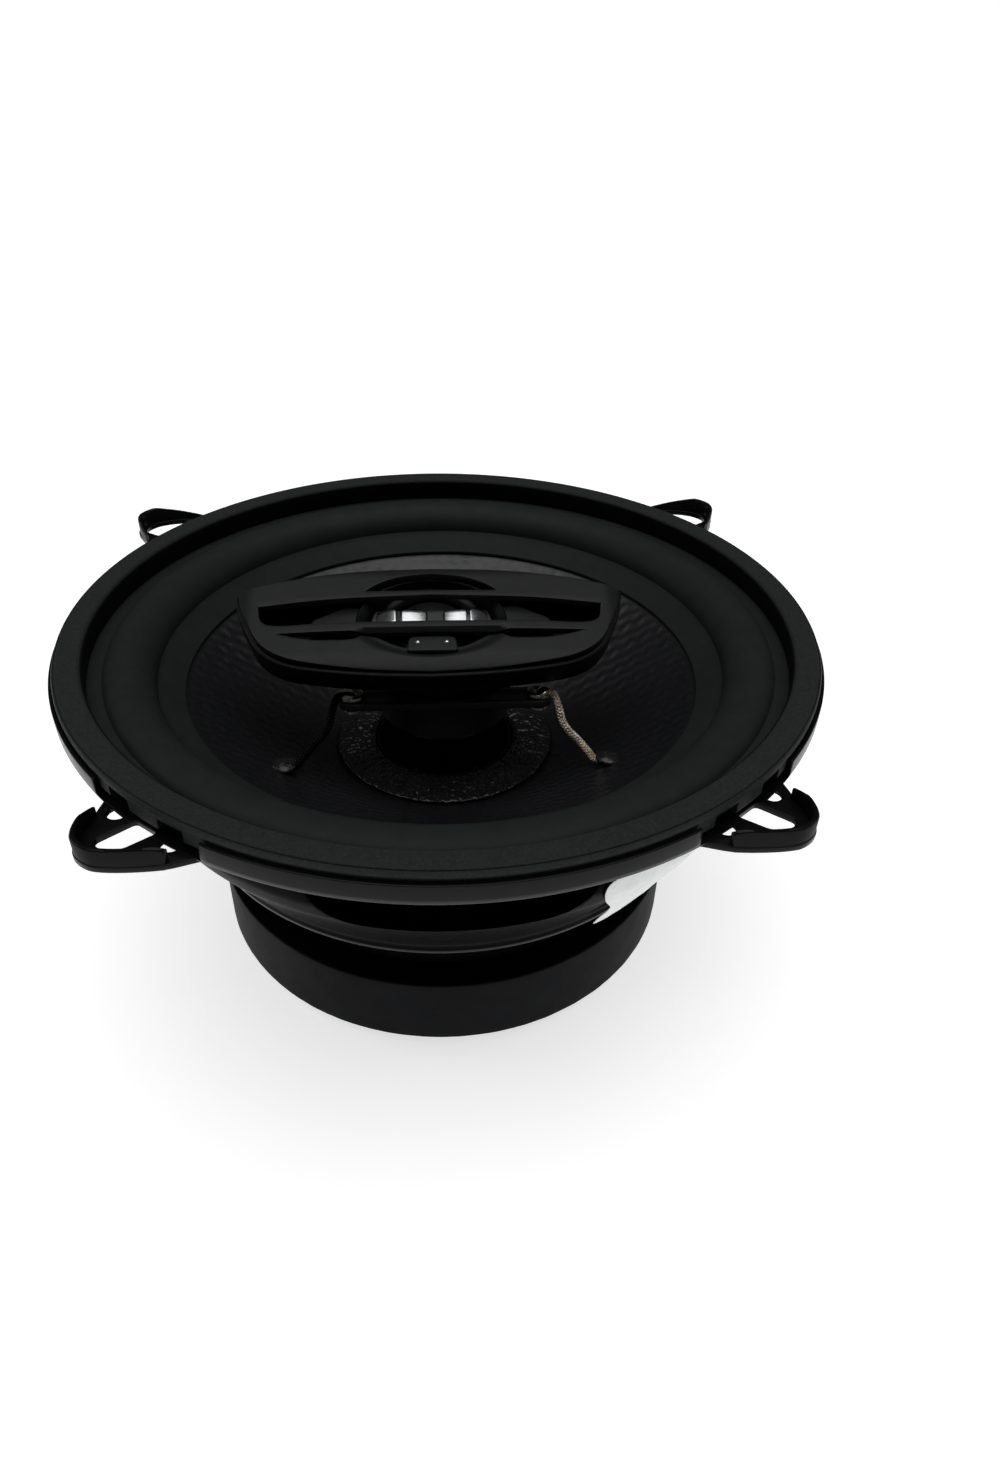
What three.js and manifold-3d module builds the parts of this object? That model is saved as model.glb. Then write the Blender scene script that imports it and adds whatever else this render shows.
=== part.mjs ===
// Coaxial car speaker, 130 mm class. Millimetres, +Z up, origin under the centre of the back plate.
import * as THREE from 'three';
import { mergeVertices } from 'three/addons/utils/BufferGeometryUtils.js';
import Module from 'manifold-3d';

const wasm = await Module();
wasm.setup();

// Driving dimensions. Heights count from DATUM above the back plate's underside.
const DATUM = 1.2;
const GASKET_TOP = 65;
const RING_R = 67;
const FLANGE_BOTTOM = 59;
const LIP_TOP = 63.2;
const MAGNET_R = 45;
const MAGNET_BORE_R = 22;
const MAGNET_BOTTOM = 3.0;
const MAGNET_TOP = 17.2;
const BACK_PLATE_R = 39.9;
const BACK_PLATE_TOP = 2.7;
const TOP_PLATE_R = 40;
const TOP_PLATE_BOTTOM = 17.5;
const TOP_PLATE_TOP = 22.4;
const POLE_R = 12.2;
const POLE_TOP = 22.4;
const BORE_R = 2.6;
const COIL_R = 12.7;
const SEAM_R = 46.4;
const EAR_ANGLE = 41.5;
const BACK_EAR_ANGLE_LEFT = 54.2;
const BACK_EAR_ANGLE_RIGHT = 50.9;
const BACK_EAR_LIFT = 2.8;
const EAR_HOLE_R = 1.7;
const POD_SHIFT_X = -2.2;
const POD_Z = 69.8;
const POD_TILT = Math.atan(0.3);
const RIVET_RING_R = 33;
const RIVET_ANGLES = [45, 135, 225, 315];
const DISH_Y = -5.5;
const LUG_X = 16.4;
const LUG_Y = -11.4;
const SIDES = [['left', -1], ['right', 1]];
const LEAD_R = 0.65;
const CONE_EYELET_R = 34.9;
const CONE_EYELET_ANGLE = -36.6;
const RAD = Math.PI / 180;

const group = new THREE.Group();
group.name = 'coaxial_car_speaker';
const speaker = new THREE.Group();
speaker.position.z = DATUM;
group.add(speaker);

const MATERIALS = {
  basket: { color: 0x0b0b0c, roughness: 0.22, metalness: 0.55 },
  gasket: { color: 0x3a3d3c, roughness: 0.8, metalness: 0.0 },
  rubber: { color: 0x353837, roughness: 0.62, metalness: 0.0 },
  cone: { color: 0x2a2c2c, roughness: 0.6, metalness: 0.0 },
  glue: { color: 0x0e0e0e, roughness: 0.5, metalness: 0.0 },
  former: { color: 0x15130f, roughness: 0.5, metalness: 0.0 },
  copper: { color: 0xa8643a, roughness: 0.35, metalness: 0.9 },
  spider: { color: 0x8a6a2c, roughness: 0.9, metalness: 0.0 },
  steel: { color: 0x8c8d8f, roughness: 0.35, metalness: 1.0 },
  ferrite: { color: 0x2f3032, roughness: 0.75, metalness: 0.0 },
  housing: { color: 0x121413, roughness: 0.5, metalness: 0.0 },
  face: { color: 0x5b5f5d, roughness: 0.42, metalness: 0.25 },
  silver: { color: 0xc9cbcc, roughness: 0.18, metalness: 1.0 },
  tinned: { color: 0xd0ccc2, roughness: 0.3, metalness: 1.0 },
  braid: { color: 0xc8a070, roughness: 0.55, metalness: 0.6 },
  lead: { color: 0x141312, roughness: 0.5, metalness: 0.0 },
  paper: { color: 0xc3c7c6, roughness: 0.85, metalness: 0.0 },
  board: { color: 0x5a3a1c, roughness: 0.7, metalness: 0.0 },
};

function put(name, geometry, material) {
  const clean = geometry.clone();
  clean.computeVertexNormals();
  const mesh = new THREE.Mesh(clean, new THREE.MeshStandardMaterial(MATERIALS[material]));
  mesh.name = name;
  speaker.add(mesh);
}

function solid(geometry) {
  const bare = geometry.clone();
  bare.deleteAttribute('normal');
  bare.deleteAttribute('uv');
  const welded = mergeVertices(bare, 1e-4);
  const vertProperties = Float32Array.from(welded.attributes.position.array);
  const triVerts = Uint32Array.from(welded.index.array);
  return new wasm.Manifold(new wasm.Mesh({ numProp: 3, vertProperties, triVerts }));
}

function toGeometry(manifold) {
  const mesh = manifold.getMesh();
  const geometry = new THREE.BufferGeometry();
  geometry.setAttribute('position', new THREE.BufferAttribute(Float32Array.from(mesh.vertProperties), 3));
  geometry.setIndex(new THREE.BufferAttribute(Uint32Array.from(mesh.triVerts), 1));
  return geometry.toNonIndexed();
}

function signedArea(points) {
  return points.reduce((sum, p, i) => {
    const q = points[(i + 1) % points.length];
    return sum + p[0] * q[1] - q[0] * p[1];
  }, 0);
}

// Closed ring or solid of revolution about Z from [radius, height] corners
function turned(points, segments = 64) {
  const loop = signedArea(points) < 0 ? [...points].reverse() : [...points];
  const axis = loop.findIndex((p, i) => p[0] === 0 && loop[(i + 1) % loop.length][0] !== 0);
  const onAxis = loop.some((p) => p[0] === 0);
  const ordered = onAxis ? [...loop.slice(axis), ...loop.slice(0, axis)] : [...loop, loop[0]];
  const profile = ordered.map(([r, z]) => new THREE.Vector2(r, z));
  return new THREE.LatheGeometry(profile, segments).rotateX(Math.PI / 2);
}

function shapeOf(points) {
  return new THREE.Shape(points.map(([x, y]) => new THREE.Vector2(x, y)));
}

// Upright prism over a closed outline
function prism(points, z0, z1) {
  const depth = z1 - z0;
  return new THREE.ExtrudeGeometry(shapeOf(points), { depth, bevelEnabled: false }).translate(0, 0, z0);
}

function polar(radius, degrees) {
  return [radius * Math.cos(degrees * RAD), radius * Math.sin(degrees * RAD)];
}

function sector(r0, r1, a0, a1, steps = 8) {
  const outer = Array.from({ length: steps + 1 }, (_, i) => polar(r1, a0 + ((a1 - a0) * i) / steps));
  const inner = Array.from({ length: steps + 1 }, (_, i) => polar(r0, a1 - ((a1 - a0) * i) / steps));
  return [...outer, ...inner];
}

function disc(radius, z0, z1, x = 0, y = 0, segments = 24) {
  return new THREE.CylinderGeometry(radius, radius, z1 - z0, segments)
    .rotateX(Math.PI / 2)
    .translate(x, y, (z0 + z1) / 2);
}

function box(x0, x1, y0, y1, z0, z1) {
  return new THREE.BoxGeometry(x1 - x0, y1 - y0, z1 - z0)
    .translate((x0 + x1) / 2, (y0 + y1) / 2, (z0 + z1) / 2);
}

// Round cord along a smooth route
function cord(points, radius, steps = 16, sides = 8) {
  const route = new THREE.CatmullRomCurve3(points.map((p) => new THREE.Vector3(...p)));
  const ring = Array.from({ length: sides }, (_, i) => {
    const a = (i / sides) * Math.PI * 2;
    return new THREE.Vector2(radius * Math.cos(a), radius * Math.sin(a));
  });
  return new THREE.ExtrudeGeometry(new THREE.Shape(ring), { steps, extrudePath: route, bevelEnabled: false });
}

// Outline with its corners rounded
function rounded(points, radius, steps = 4) {
  return points.flatMap((p, i) => {
    const prev = points[(i + points.length - 1) % points.length];
    const next = points[(i + 1) % points.length];
    const toward = (q) => {
      const length = Math.hypot(q[0] - p[0], q[1] - p[1]);
      const reach = Math.min(radius, length * 0.45);
      return [p[0] + ((q[0] - p[0]) * reach) / length, p[1] + ((q[1] - p[1]) * reach) / length];
    };
    const a = toward(prev);
    const b = toward(next);
    return Array.from({ length: steps + 1 }, (_, k) => {
      const t = k / steps;
      const u = 1 - t;
      return [0, 1].map((c) => u * u * a[c] + 2 * u * t * p[c] + t * t * b[c]);
    });
  });
}

// Ears: angles are measured from the ear's centre line, radii from the speaker's axis
const EARS = [
  { centre: 270 - EAR_ANGLE, sense: 1, lift: 0 },
  { centre: 270 + EAR_ANGLE, sense: -1, lift: 0 },
  { centre: 90 + BACK_EAR_ANGLE_LEFT, sense: -1, lift: BACK_EAR_LIFT },
  { centre: 90 - BACK_EAR_ANGLE_RIGHT, sense: 1, lift: BACK_EAR_LIFT },
];
const EAR_PLATE = [
  [-7.6, 63.2], [-7.4, 66.0], [-5.9, 68.4], [-4.7, 70.2], [-3.6, 73.2], [-2.3, 74.8], [-1.0, 75.6],
  [1.0, 75.5], [2.7, 74.4], [5.4, 71.9], [7.6, 69.7], [9.8, 66.6], [10.4, 65.9], [10.4, 63.2],
];
const EAR_WALL = [
  [-4.9, 70.0], [-4.2, 71.8], [-3.4, 73.4], [-2.3, 74.8], [-1.0, 75.6],
  [1.0, 75.5], [2.7, 74.4], [5.4, 71.9], [7.6, 69.7],
];
const EAR_OPENING = [[-1.2, 65.8], [-1.9, 72.3], [-0.4, 73.0], [1.9, 70.9], [3.0, 65.7]];
const BACK_EAR_OPENING = [
  [-2.6, 69.0], [-2.6, 73.0], [-1.0, 74.3], [1.0, 74.2], [2.7, 73.1], [5.2, 70.7], [5.2, 68.6],
];
const EAR_HOLES = [[-4.0, 66.7], [5.7, 66.4]];

function earPoints(ear, points) {
  const flat = points.map(([offset, radius]) => polar(radius, ear.centre + ear.sense * offset));
  return ear.sense > 0 ? flat : flat.reverse();
}

// The back ears stand on top of the rim's lip, so their sheet starts outside it
function earSolid(ear) {
  const base = FLANGE_BOTTOM + ear.lift;
  const onLip = [...EAR_PLATE.slice(1, -1), ...[7, 3, -1, -5].map((offset) => [offset, 66.5])];
  const lifted = onLip.map(([offset, radius]) => [offset, Math.max(radius, 66.5)]);
  const outline = ear.lift ? lifted : EAR_PLATE;
  const plate = solid(prism(earPoints(ear, outline), base, base + 1));
  const inside = EAR_WALL.map(([offset, radius]) => [offset, radius - 1]).reverse();
  const strip = [...EAR_WALL, ...inside];
  const wall = solid(prism(earPoints(ear, strip), base + 0.2, base + 3.8));
  return plate.add(wall);
}

function earCuts(ear) {
  const base = FLANGE_BOTTOM + ear.lift;
  const opening = rounded(earPoints(ear, ear.lift ? BACK_EAR_OPENING : EAR_OPENING), 0.9, 3);
  const cuts = [solid(prism(opening, base - 1, base + 2))];
  if (ear.lift) {
    return cuts;
  }
  for (const [offset, radius] of EAR_HOLES) {
    const [x, y] = polar(radius, ear.centre + ear.sense * offset);
    cuts.push(solid(disc(EAR_HOLE_R, base - 1, base + 2, x, y, 16)));
  }
  return cuts;
}

const BASKET_OUTSIDE = [
  [15.5, 22.7], [41.8, 22.7], [43.0, 23.2], [43.6, 24.6], [44.2, 27.4], [45.6, 28.4], [47.6, 28.7],
  [48.4, 29.4], [48.4, 30.9], [48.7, 31.8], [56.2, 43.2], [57.6, 47.0], [58.3, 57.6], [58.9, 58.6],
  [59.9, FLANGE_BOTTOM],
];
const BASKET_INSIDE = [
  [59.5, 60.0], [58.2, 59.4], [57.2, 57.9], [56.5, 47.3], [55.2, 43.7], [47.7, 32.2], [47.3, 30.6],
  [46.9, 29.9], [45.0, 29.5], [43.4, 28.6], [42.9, 27.4], [42.5, 24.6], [41.9, 23.8], [15.5, 23.8],
];
const BASKET_WINDOW = [[-18.5, 42.9], [18.5, 42.9], [25.5, 56.8], [-25.5, 56.8]];

function basketFrame() {
  const lip = [
    [66.0, FLANGE_BOTTOM], [66.75, 59.6], [RING_R, 60.5], [RING_R, LIP_TOP], [66.35, LIP_TOP], [66.35, 60.0],
  ];
  let body = solid(turned([...BASKET_OUTSIDE, ...lip, ...BASKET_INSIDE], 48));
  for (const ear of EARS.filter(({ lift }) => lift === 0)) {
    const reach = [-8.4, 10.9].map((offset) => ear.centre + ear.sense * offset).sort((a, b) => a - b);
    body = body.subtract(solid(prism(sector(65.9, 68, reach[0], reach[1]), 60.0, LIP_TOP + 1)));
  }
  const window = rounded(BASKET_WINDOW, 6, 4);
  for (let turn = 0; turn < 4; turn += 1) {
    const punch = new THREE.ExtrudeGeometry(shapeOf(window), { depth: 30, bevelEnabled: false })
      .rotateX(Math.PI / 2)
      .translate(0, -38, 0)
      .rotateZ((turn * Math.PI) / 2);
    body = body.subtract(solid(punch));
  }
  for (const ear of EARS) {
    body = body.add(earSolid(ear));
  }
  for (const ear of EARS) {
    for (const cut of earCuts(ear)) {
      body = body.subtract(cut);
    }
  }
  for (const angle of RIVET_ANGLES) {
    const [x, y] = polar(RIVET_RING_R, angle);
    body = body.subtract(solid(disc(1.9, 22, 25, x, y, 16)));
  }
  body = body.subtract(solid(disc(1.5, -4, 4, 0, 0, 12).rotateX(Math.PI / 2).translate(0, 57.6, 55.6)));
  put('basket_frame', toGeometry(body), 'basket');
}

function basketRivets() {
  RIVET_ANGLES.forEach((angle, i) => {
    const [x, y] = polar(RIVET_RING_R, angle);
    const rivet = turned([[0, 21.0], [1.6, 21.0], [1.6, 24.0], [3.0, 24.0], [2.6, 24.8], [0, 25.2]], 10);
    put(`basket_rivet_${i + 1}`, rivet.translate(x, y, 0), 'steel');
  });
}

function frontGasket() {
  const ring = [
    [61.8, 60.9], [65.8, 60.9], [66.0, 61.2], [66.0, 63.6], [66.3, 63.9], [66.3, 64.4],
    [66.1, 64.8], [65.8, GASKET_TOP], [62.2, GASKET_TOP], [61.8, 64.7],
  ];
  let body = solid(turned(ring, 48));
  for (const ear of EARS.filter(({ lift }) => lift === 0)) {
    for (const [offset] of EAR_HOLES) {
      const at = ear.centre + ear.sense * offset;
      body = body.subtract(solid(prism(sector(63.4, 66.2, at - 2.1, at + 2.1, 3), 60, 63.1)));
    }
  }
  put('front_gasket', toGeometry(body), 'gasket');
}

// Half-roll surround: outer foot, roll and the sloping band glued to the cone's edge
function surround() {
  const centre = 54.95;
  const arc = Array.from({ length: 6 }, (_, i) => 10 + (170 * i) / 5);
  const roll = (reach, base, height) => arc.map((a) => [
    centre + reach * Math.cos(a * RAD),
    base - (2.7 * a) / 180 + height * Math.sin(a * RAD),
  ]);
  const top = [[64.4, 60.6], [59.8, 60.6], ...roll(4.3, 60.2, 3.2), [50.2, 57.0], [SEAM_R, 54.6]];
  const under = [[SEAM_R, 54.1], [50.9, 56.55], ...roll(3.85, 59.8, 3.1).reverse(), [59.3, 60.2], [64.4, 60.2]];
  put('surround', turned([...top, ...under], 40), 'rubber');
}

const CONE_TOP = [
  [51.1, 56.3], [SEAM_R, 53.7], [42.0, 50.9], [30.0, 43.3], [20.4, 37.4], [16.0, 36.2], [13.5, 36.2],
];

function wooferCone() {
  const under = CONE_TOP.map(([r, z]) => [r + 0.1, z - 0.7]).reverse();
  under[0] = [13.5, 35.5];
  put('woofer_cone', turned([...CONE_TOP, ...under], 40), 'cone');
}

function neckGlueRing() {
  const ring = [
    [13.3, 36.5], [16.2, 36.5], [20.6, 37.95], [20.4, 38.3], [18.2, 38.6], [15.6, 38.8], [14.0, 38.7], [13.3, 38.2],
  ];
  put('neck_glue_ring', turned(ring, 32), 'glue');
}

function voiceCoil() {
  put('voice_coil_former', turned([[12.7, 16.6], [13.0, 16.6], [13.0, 38.2], [12.7, 38.2]], 32), 'former');
  put('voice_coil', turned([[13.2, 16.8], [13.8, 16.8], [13.8, 24.4], [13.2, 24.4]], 32), 'copper');
}

// Corrugated spider, dished up to the former
function spider() {
  const waves = 3;
  const steps = waves * 4;
  const line = Array.from({ length: steps + 1 }, (_, i) => {
    const t = i / steps;
    return [37.6 - 20.6 * t, 31.0 + 2.2 * t + 0.75 * Math.sin(t * waves * 2 * Math.PI)];
  });
  const top = [[41.4, 31.0], ...line, [15.4, 33.5], [14.2, 34.7], [13.3, 34.7]].map(([r, z]) => [r, z + 0.22]);
  const under = [[41.4, 31.0], ...line, [15.0, 33.2], [13.9, 34.1], [13.3, 34.1]].map(([r, z]) => [r, z - 0.22]);
  put('spider', turned([...top, ...under.reverse()], 28), 'spider');
}

function spiderRing() {
  const ring = [
    [38.4, 24.1], [41.5, 24.1], [42.0, 24.6], [42.0, 26.0], [41.4, 30.4], [38.4, 30.4],
    [38.0, 29.6], [38.0, 24.6],
  ];
  put('spider_ring', turned(ring, 32), 'housing');
}

function motor() {
  const plate = [
    [14.5, TOP_PLATE_BOTTOM], [TOP_PLATE_R - 0.4, TOP_PLATE_BOTTOM], [TOP_PLATE_R, TOP_PLATE_BOTTOM + 0.4],
    [TOP_PLATE_R, TOP_PLATE_TOP - 0.4], [TOP_PLATE_R - 0.4, TOP_PLATE_TOP], [14.5, TOP_PLATE_TOP],
  ];
  put('top_plate', toGeometry(rivetHoles(solid(turned(plate, 40)))), 'steel');
  const b = 0.4;
  const ferrite = [
    [MAGNET_BORE_R, MAGNET_BOTTOM], [MAGNET_R - b, MAGNET_BOTTOM], [MAGNET_R, MAGNET_BOTTOM + b],
    [MAGNET_R, MAGNET_TOP - b], [MAGNET_R - b, MAGNET_TOP], [MAGNET_BORE_R, MAGNET_TOP],
  ];
  put('ferrite_magnet', turned(ferrite, 56), 'ferrite');
  const underside = -DATUM;
  const yoke = [
    [BORE_R, underside + 2.9], [5.4, underside + 2.9], [5.4, underside], [BACK_PLATE_R - 0.6, underside],
    [BACK_PLATE_R, underside + 0.6], [BACK_PLATE_R, BACK_PLATE_TOP - 0.5], [BACK_PLATE_R - 0.5, BACK_PLATE_TOP],
    [POLE_R + 1.2, BACK_PLATE_TOP], [POLE_R, BACK_PLATE_TOP + 1.2], [POLE_R, POLE_TOP - 0.5],
    [POLE_R - 0.5, POLE_TOP], [BORE_R, POLE_TOP],
  ];
  put('t_yoke', turned(yoke, 40), 'steel');
}

function rivetHoles(body) {
  let drilled = body;
  for (const angle of RIVET_ANGLES) {
    const [x, y] = polar(RIVET_RING_R, angle);
    drilled = drilled.subtract(solid(disc(1.9, 20.6, 23, x, y, 16)));
  }
  return drilled;
}

function tweeterPost() {
  const post = [
    [0, 44.6], [2.5, 44.2], [2.5, 22.7], [5.6, 22.7], [5.6, 40.5], [6.4, 41.5], [6.4, 46.7], [0, 46.7],
  ];
  put('tweeter_post', turned(post, 20), 'housing');
  const screw = [
    [0, -0.7], [4.4, -0.7], [4.9, -0.2], [4.9, 0.6], [3.9, 1.4], [2.2, 1.4], [2.2, 43.2], [1.7, 43.8], [0, 43.8],
  ];
  const slot = solid(box(-3.2, 3.2, -0.55, 0.55, -1.2, 0.3));
  const cross = solid(box(-0.55, 0.55, -3.2, 3.2, -1.2, 0.3));
  put('post_screw', toGeometry(solid(turned(screw, 14)).subtract(slot).subtract(cross)), 'steel');
  const drum = [
    [0, 47.0], [7.0, 47.0], [7.4, 45.4], [11.7, 45.4], [12.4, 46.1], [12.4, 53.0], [13.6, 53.5], [14.0, 53.9],
    [14.0, 54.8], [13.4, 55.3], [0, 55.3],
  ];
  let body = solid(turned(drum, 28)).add(solid(box(-18.6, 18.6, LUG_Y - 2.3, LUG_Y + 2.3, 53.5, 54.9)));
  for (const side of [-1, 1]) {
    body = body.subtract(solid(disc(1.5, 52, 57, side * LUG_X, LUG_Y, 14)));
  }
  put('tweeter_drum', toGeometry(body), 'housing');
}

// Tweeter pod, drawn on its own tilted plane: x across, y up the slope, z out of the face
const POD_HALF = [
  [33.6, 0.2], [33.0, -3.0], [31.3, -7.6], [28.9, -12.2], [25.2, -15.0], [20.0, -16.4], [10.3, -17.6], [0, -18.1],
];
const POD_BACK = [[25.0, 2.7], [12.5, 4.9], [0, 5.6]];

function mirrored(half) {
  const left = half.filter(([x]) => x > 0).map(([x, y]) => [-x, y]);
  return [...half, ...left.reverse()];
}

function podOutline(grow) {
  const front = mirrored(POD_HALF);
  const back = POD_BACK.filter(([x]) => x > 0).map(([x, y]) => [-x, y]);
  const loop = [...front, ...back, [0, 5.6], ...POD_BACK.filter(([x]) => x > 0).reverse()];
  const cy = -6;
  return loop.map(([x, y]) => {
    const d = Math.hypot(x / 33.6, (y - cy) / 12);
    return [x + (grow * x) / (33.6 * d), y + (grow * (y - cy)) / (12 * d)];
  }).reverse();
}

function onPod(geometry) {
  return geometry.rotateX(POD_TILT).translate(POD_SHIFT_X, 0, POD_Z);
}

const WINDOW = mirrored([[0, -1.1], [17.4, -2.0], [29.8, -3.7], [27.9, -8.0], [16.5, -7.6], [0, -7.4]]);
const SLOT = mirrored([[0, -9.4], [15, -9.5], [26.6, -10.0], [20.5, -11.5], [13.8, -11.5], [9.6, -10.4],
  [5.5, -12.6], [4.3, -12.9], [3.7, -11.6], [0, -11.5]]);
const CRESCENT = mirrored([[0, 4.1], [5.5, 3.3], [9.4, 1.6], [11.6, -0.2], [5.8, -0.2], [0, -0.1]]);

function podFace() {
  let face = solid(onPod(prism(podOutline(0), -1.3, 0)));
  for (const opening of [WINDOW, SLOT, CRESCENT]) {
    face = face.subtract(solid(onPod(prism(opening, -3, 3))));
  }
  put('pod_face', toGeometry(face), 'face');
}

function podHousing() {
  const hull = solid(onPod(prism(podOutline(0.6), -6.4, -1.6)));
  const hub = solid(disc(9.5, 55.6, 63, -1, -4, 40));
  const trim = solid(onPod(box(-40, 40, -30, 20, -1.6, 30)));
  const cavity = solid(onPod(prism(podOutline(-1.0), -5.2, 1)));
  const pocket = solid(onPod(disc(7.4, -8.4, 0, 0, DISH_Y, 32)));
  put('pod_housing', toGeometry(hull.add(hub).subtract(trim).subtract(cavity).subtract(pocket)), 'housing');
}

function tweeterUnit() {
  const stack = (points, segments) => onPod(turned(points, segments).translate(0, DISH_Y, 0));
  put('tweeter_magnet', stack([[0, -8.1], [6.6, -8.1], [7.0, -7.7], [7.0, -5.4], [0, -5.4]], 20), 'steel');
  const ring = [[7.1, -4.9], [9.7, -4.9], [9.7, -3.6], [9.0, -3.0], [7.8, -3.1], [7.1, -3.8]];
  put('tweeter_ring', stack(ring, 28), 'housing');
  const dome = [[0, -4.5], [6.6, -4.5], [6.6, -4.2], [6.0, -3.9], [4.8, -3.6], [3.0, -3.4], [0, -3.3]];
  put('tweeter_dome', stack(dome, 24), 'housing');
}

// Bright bar across the tweeter's mouth, with four raised pads
function tweeterBridge() {
  const outline = mirrored([[0, -3.3], [9.6, -3.3], [10.3, -5.4], [10.3, -8.4], [0, -8.4]]);
  let bar = solid(prism(outline, -2.7, -2.0));
  for (const [from, to] of [[-9.3, -6.3], [-5.1, -1.1], [2.4, 6.0], [6.8, 9.4]]) {
    bar = bar.add(solid(box(from, to, -6.9, -3.8, -2.2, -1.6)));
  }
  put('tweeter_bridge', onPod(toGeometry(bar)), 'silver');
}

// Flared side walls of the pod's mouth, one each side of the tweeter
function hornWings() {
  for (const [name, side] of [['horn_wing_left', -1], ['horn_wing_right', 1]]) {
    const outline = [[12.6, -9.6], [20.8, -9.4], [20.6, -5.2], [15.2, -2.2], [12.8, -2.3], [12.3, -4.6]];
    const points = outline.map(([x, y]) => [side * x, y]);
    put(name, onPod(prism(side > 0 ? points : points.reverse(), -4.9, -2.2)), 'face');
  }
}

function frontLeads() {
  for (const [name, side] of SIDES) {
    const eyelet = turned([[0, 52.4], [2.0, 52.4], [2.0, 53.1], [1.2, 53.2], [1.2, 55.2], [2.2, 55.2], [1.9, 55.8],
      [0, 55.8]], 10);
    put(`pod_terminal_${name}`, eyelet.translate(side * LUG_X, LUG_Y, 0), 'tinned');
    const route = [[18.9, -13.0, 55.9], [19.7, -14.8, 54.4], [20.4, -15.7, 52.0], [21.6, -16.3, 50.2],
      [23.3, -16.9, 48.6], [25.0, -18.3, 47.0], [26.1, -19.35, 46.15]];
    const finish = name === 'left' ? 'lead' : 'braid';
    put(`front_lead_${name}`, cord(route.map(([x, y, z]) => [side * x, y, z]), LEAD_R, 12, 8), finish);
    const at = side > 0 ? CONE_EYELET_ANGLE : 180 - CONE_EYELET_ANGLE;
    const dot = turned([[0, -0.35], [1.9, -0.35], [2.1, 0.0], [1.5, 0.6], [0.8, 0.9], [0, 1.0]], 10)
      .rotateY(-0.56)
      .rotateZ(at * RAD);
    const [x, y] = polar(CONE_EYELET_R, at);
    put(`cone_eyelet_${name}`, dot.translate(x, y, 47.3), 'glue');
  }
}

// Paper label that bridges the hollow above the basket's foot
function basketLabel() {
  const near = [[48.95, 29.2], [56.55, 42.8], [57.95, 46.8], [58.2, 50.0]];
  const far = near.map(([r, z]) => [r + 0.3, z]).reverse();
  const band = solid(turned([...near, ...far], 96));
  const wedge = solid(prism(sector(40, 70, -62, -38, 6), 29, 49.8));
  put('basket_label', toGeometry(band.intersect(wedge)), 'paper');
}

function rearTerminals() {
  const board = rounded([[-10, 41.5], [10, 41.5], [10, 57.6], [-10, 57.6]], 1.2, 2);
  const plate = new THREE.ExtrudeGeometry(shapeOf(board), { depth: 1.2, bevelEnabled: false })
    .rotateX(Math.PI / 2)
    .translate(0, 60.4, 0);
  const hole = (x, z) => solid(disc(1.3, -3, 3, 0, 0, 12).rotateX(Math.PI / 2).translate(x, 60, z));
  put('terminal_board', toGeometry([[0, 55.6], [-5.5, 47], [5.5, 47]]
    .reduce((body, [x, z]) => body.subtract(hole(x, z)), solid(plate))), 'board');
  const pin = (x, z, reach) => turned([[0, 0], [2.0, 0], [2.0, 0.6], [1.0, 0.6], [1.0, reach], [1.9, reach + 0.1],
    [1.6, reach + 0.6], [0, reach + 0.7]], 12).rotateX(-Math.PI / 2).translate(x, 0, z);
  put('terminal_board_rivet', pin(0, 55.6, 4.6).translate(0, 56.1, 0), 'steel');
  for (const [name, x, width] of [['positive', -5.5, 4.8], ['negative', 5.5, 2.8]]) {
    const half = width / 2;
    const foot = solid(box(x - half, x + half, 60.7, 61.5, 44.2, 49.4));
    const blade = solid(box(x - half, x + half, 60.7, 61.5, 35.0, 44.4));
    const drill = solid(disc(1.3, -3, 3, 0, 0, 12).rotateX(Math.PI / 2).translate(x, 61, 47));
    put(`spade_${name}`, toGeometry(foot.add(blade).subtract(drill)), 'tinned');
    put(`spade_rivet_${name}`, pin(x, 47, 4.1).translate(0, 57.8, 0), 'tinned');
    const route = [[x, 57.0, 47.0], [x, 52.5, 43.8], [x * 0.9, 45.0, 41.0], [x * 0.8, 36.0, 40.0], [x * 0.7, 27.6, 40.2]];
    put(`rear_lead_${name}`, cord(route, LEAD_R, 12, 8), 'braid');
  }
}

basketFrame();
basketRivets();
frontGasket();
surround();
wooferCone();
neckGlueRing();
voiceCoil();
spider();
spiderRing();
motor();
tweeterPost();
podHousing();
podFace();
tweeterUnit();
tweeterBridge();
hornWings();
frontLeads();
basketLabel();
rearTerminals();

export default group;
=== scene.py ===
"""Looks of the coaxial car speaker.

Outlines and profiles are in millimetres, with heights counted from DATUM above the back plate's underside.
"""

import math

import bmesh
import bpy
import numpy as np
from mathutils import Matrix, Vector, noise


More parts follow.
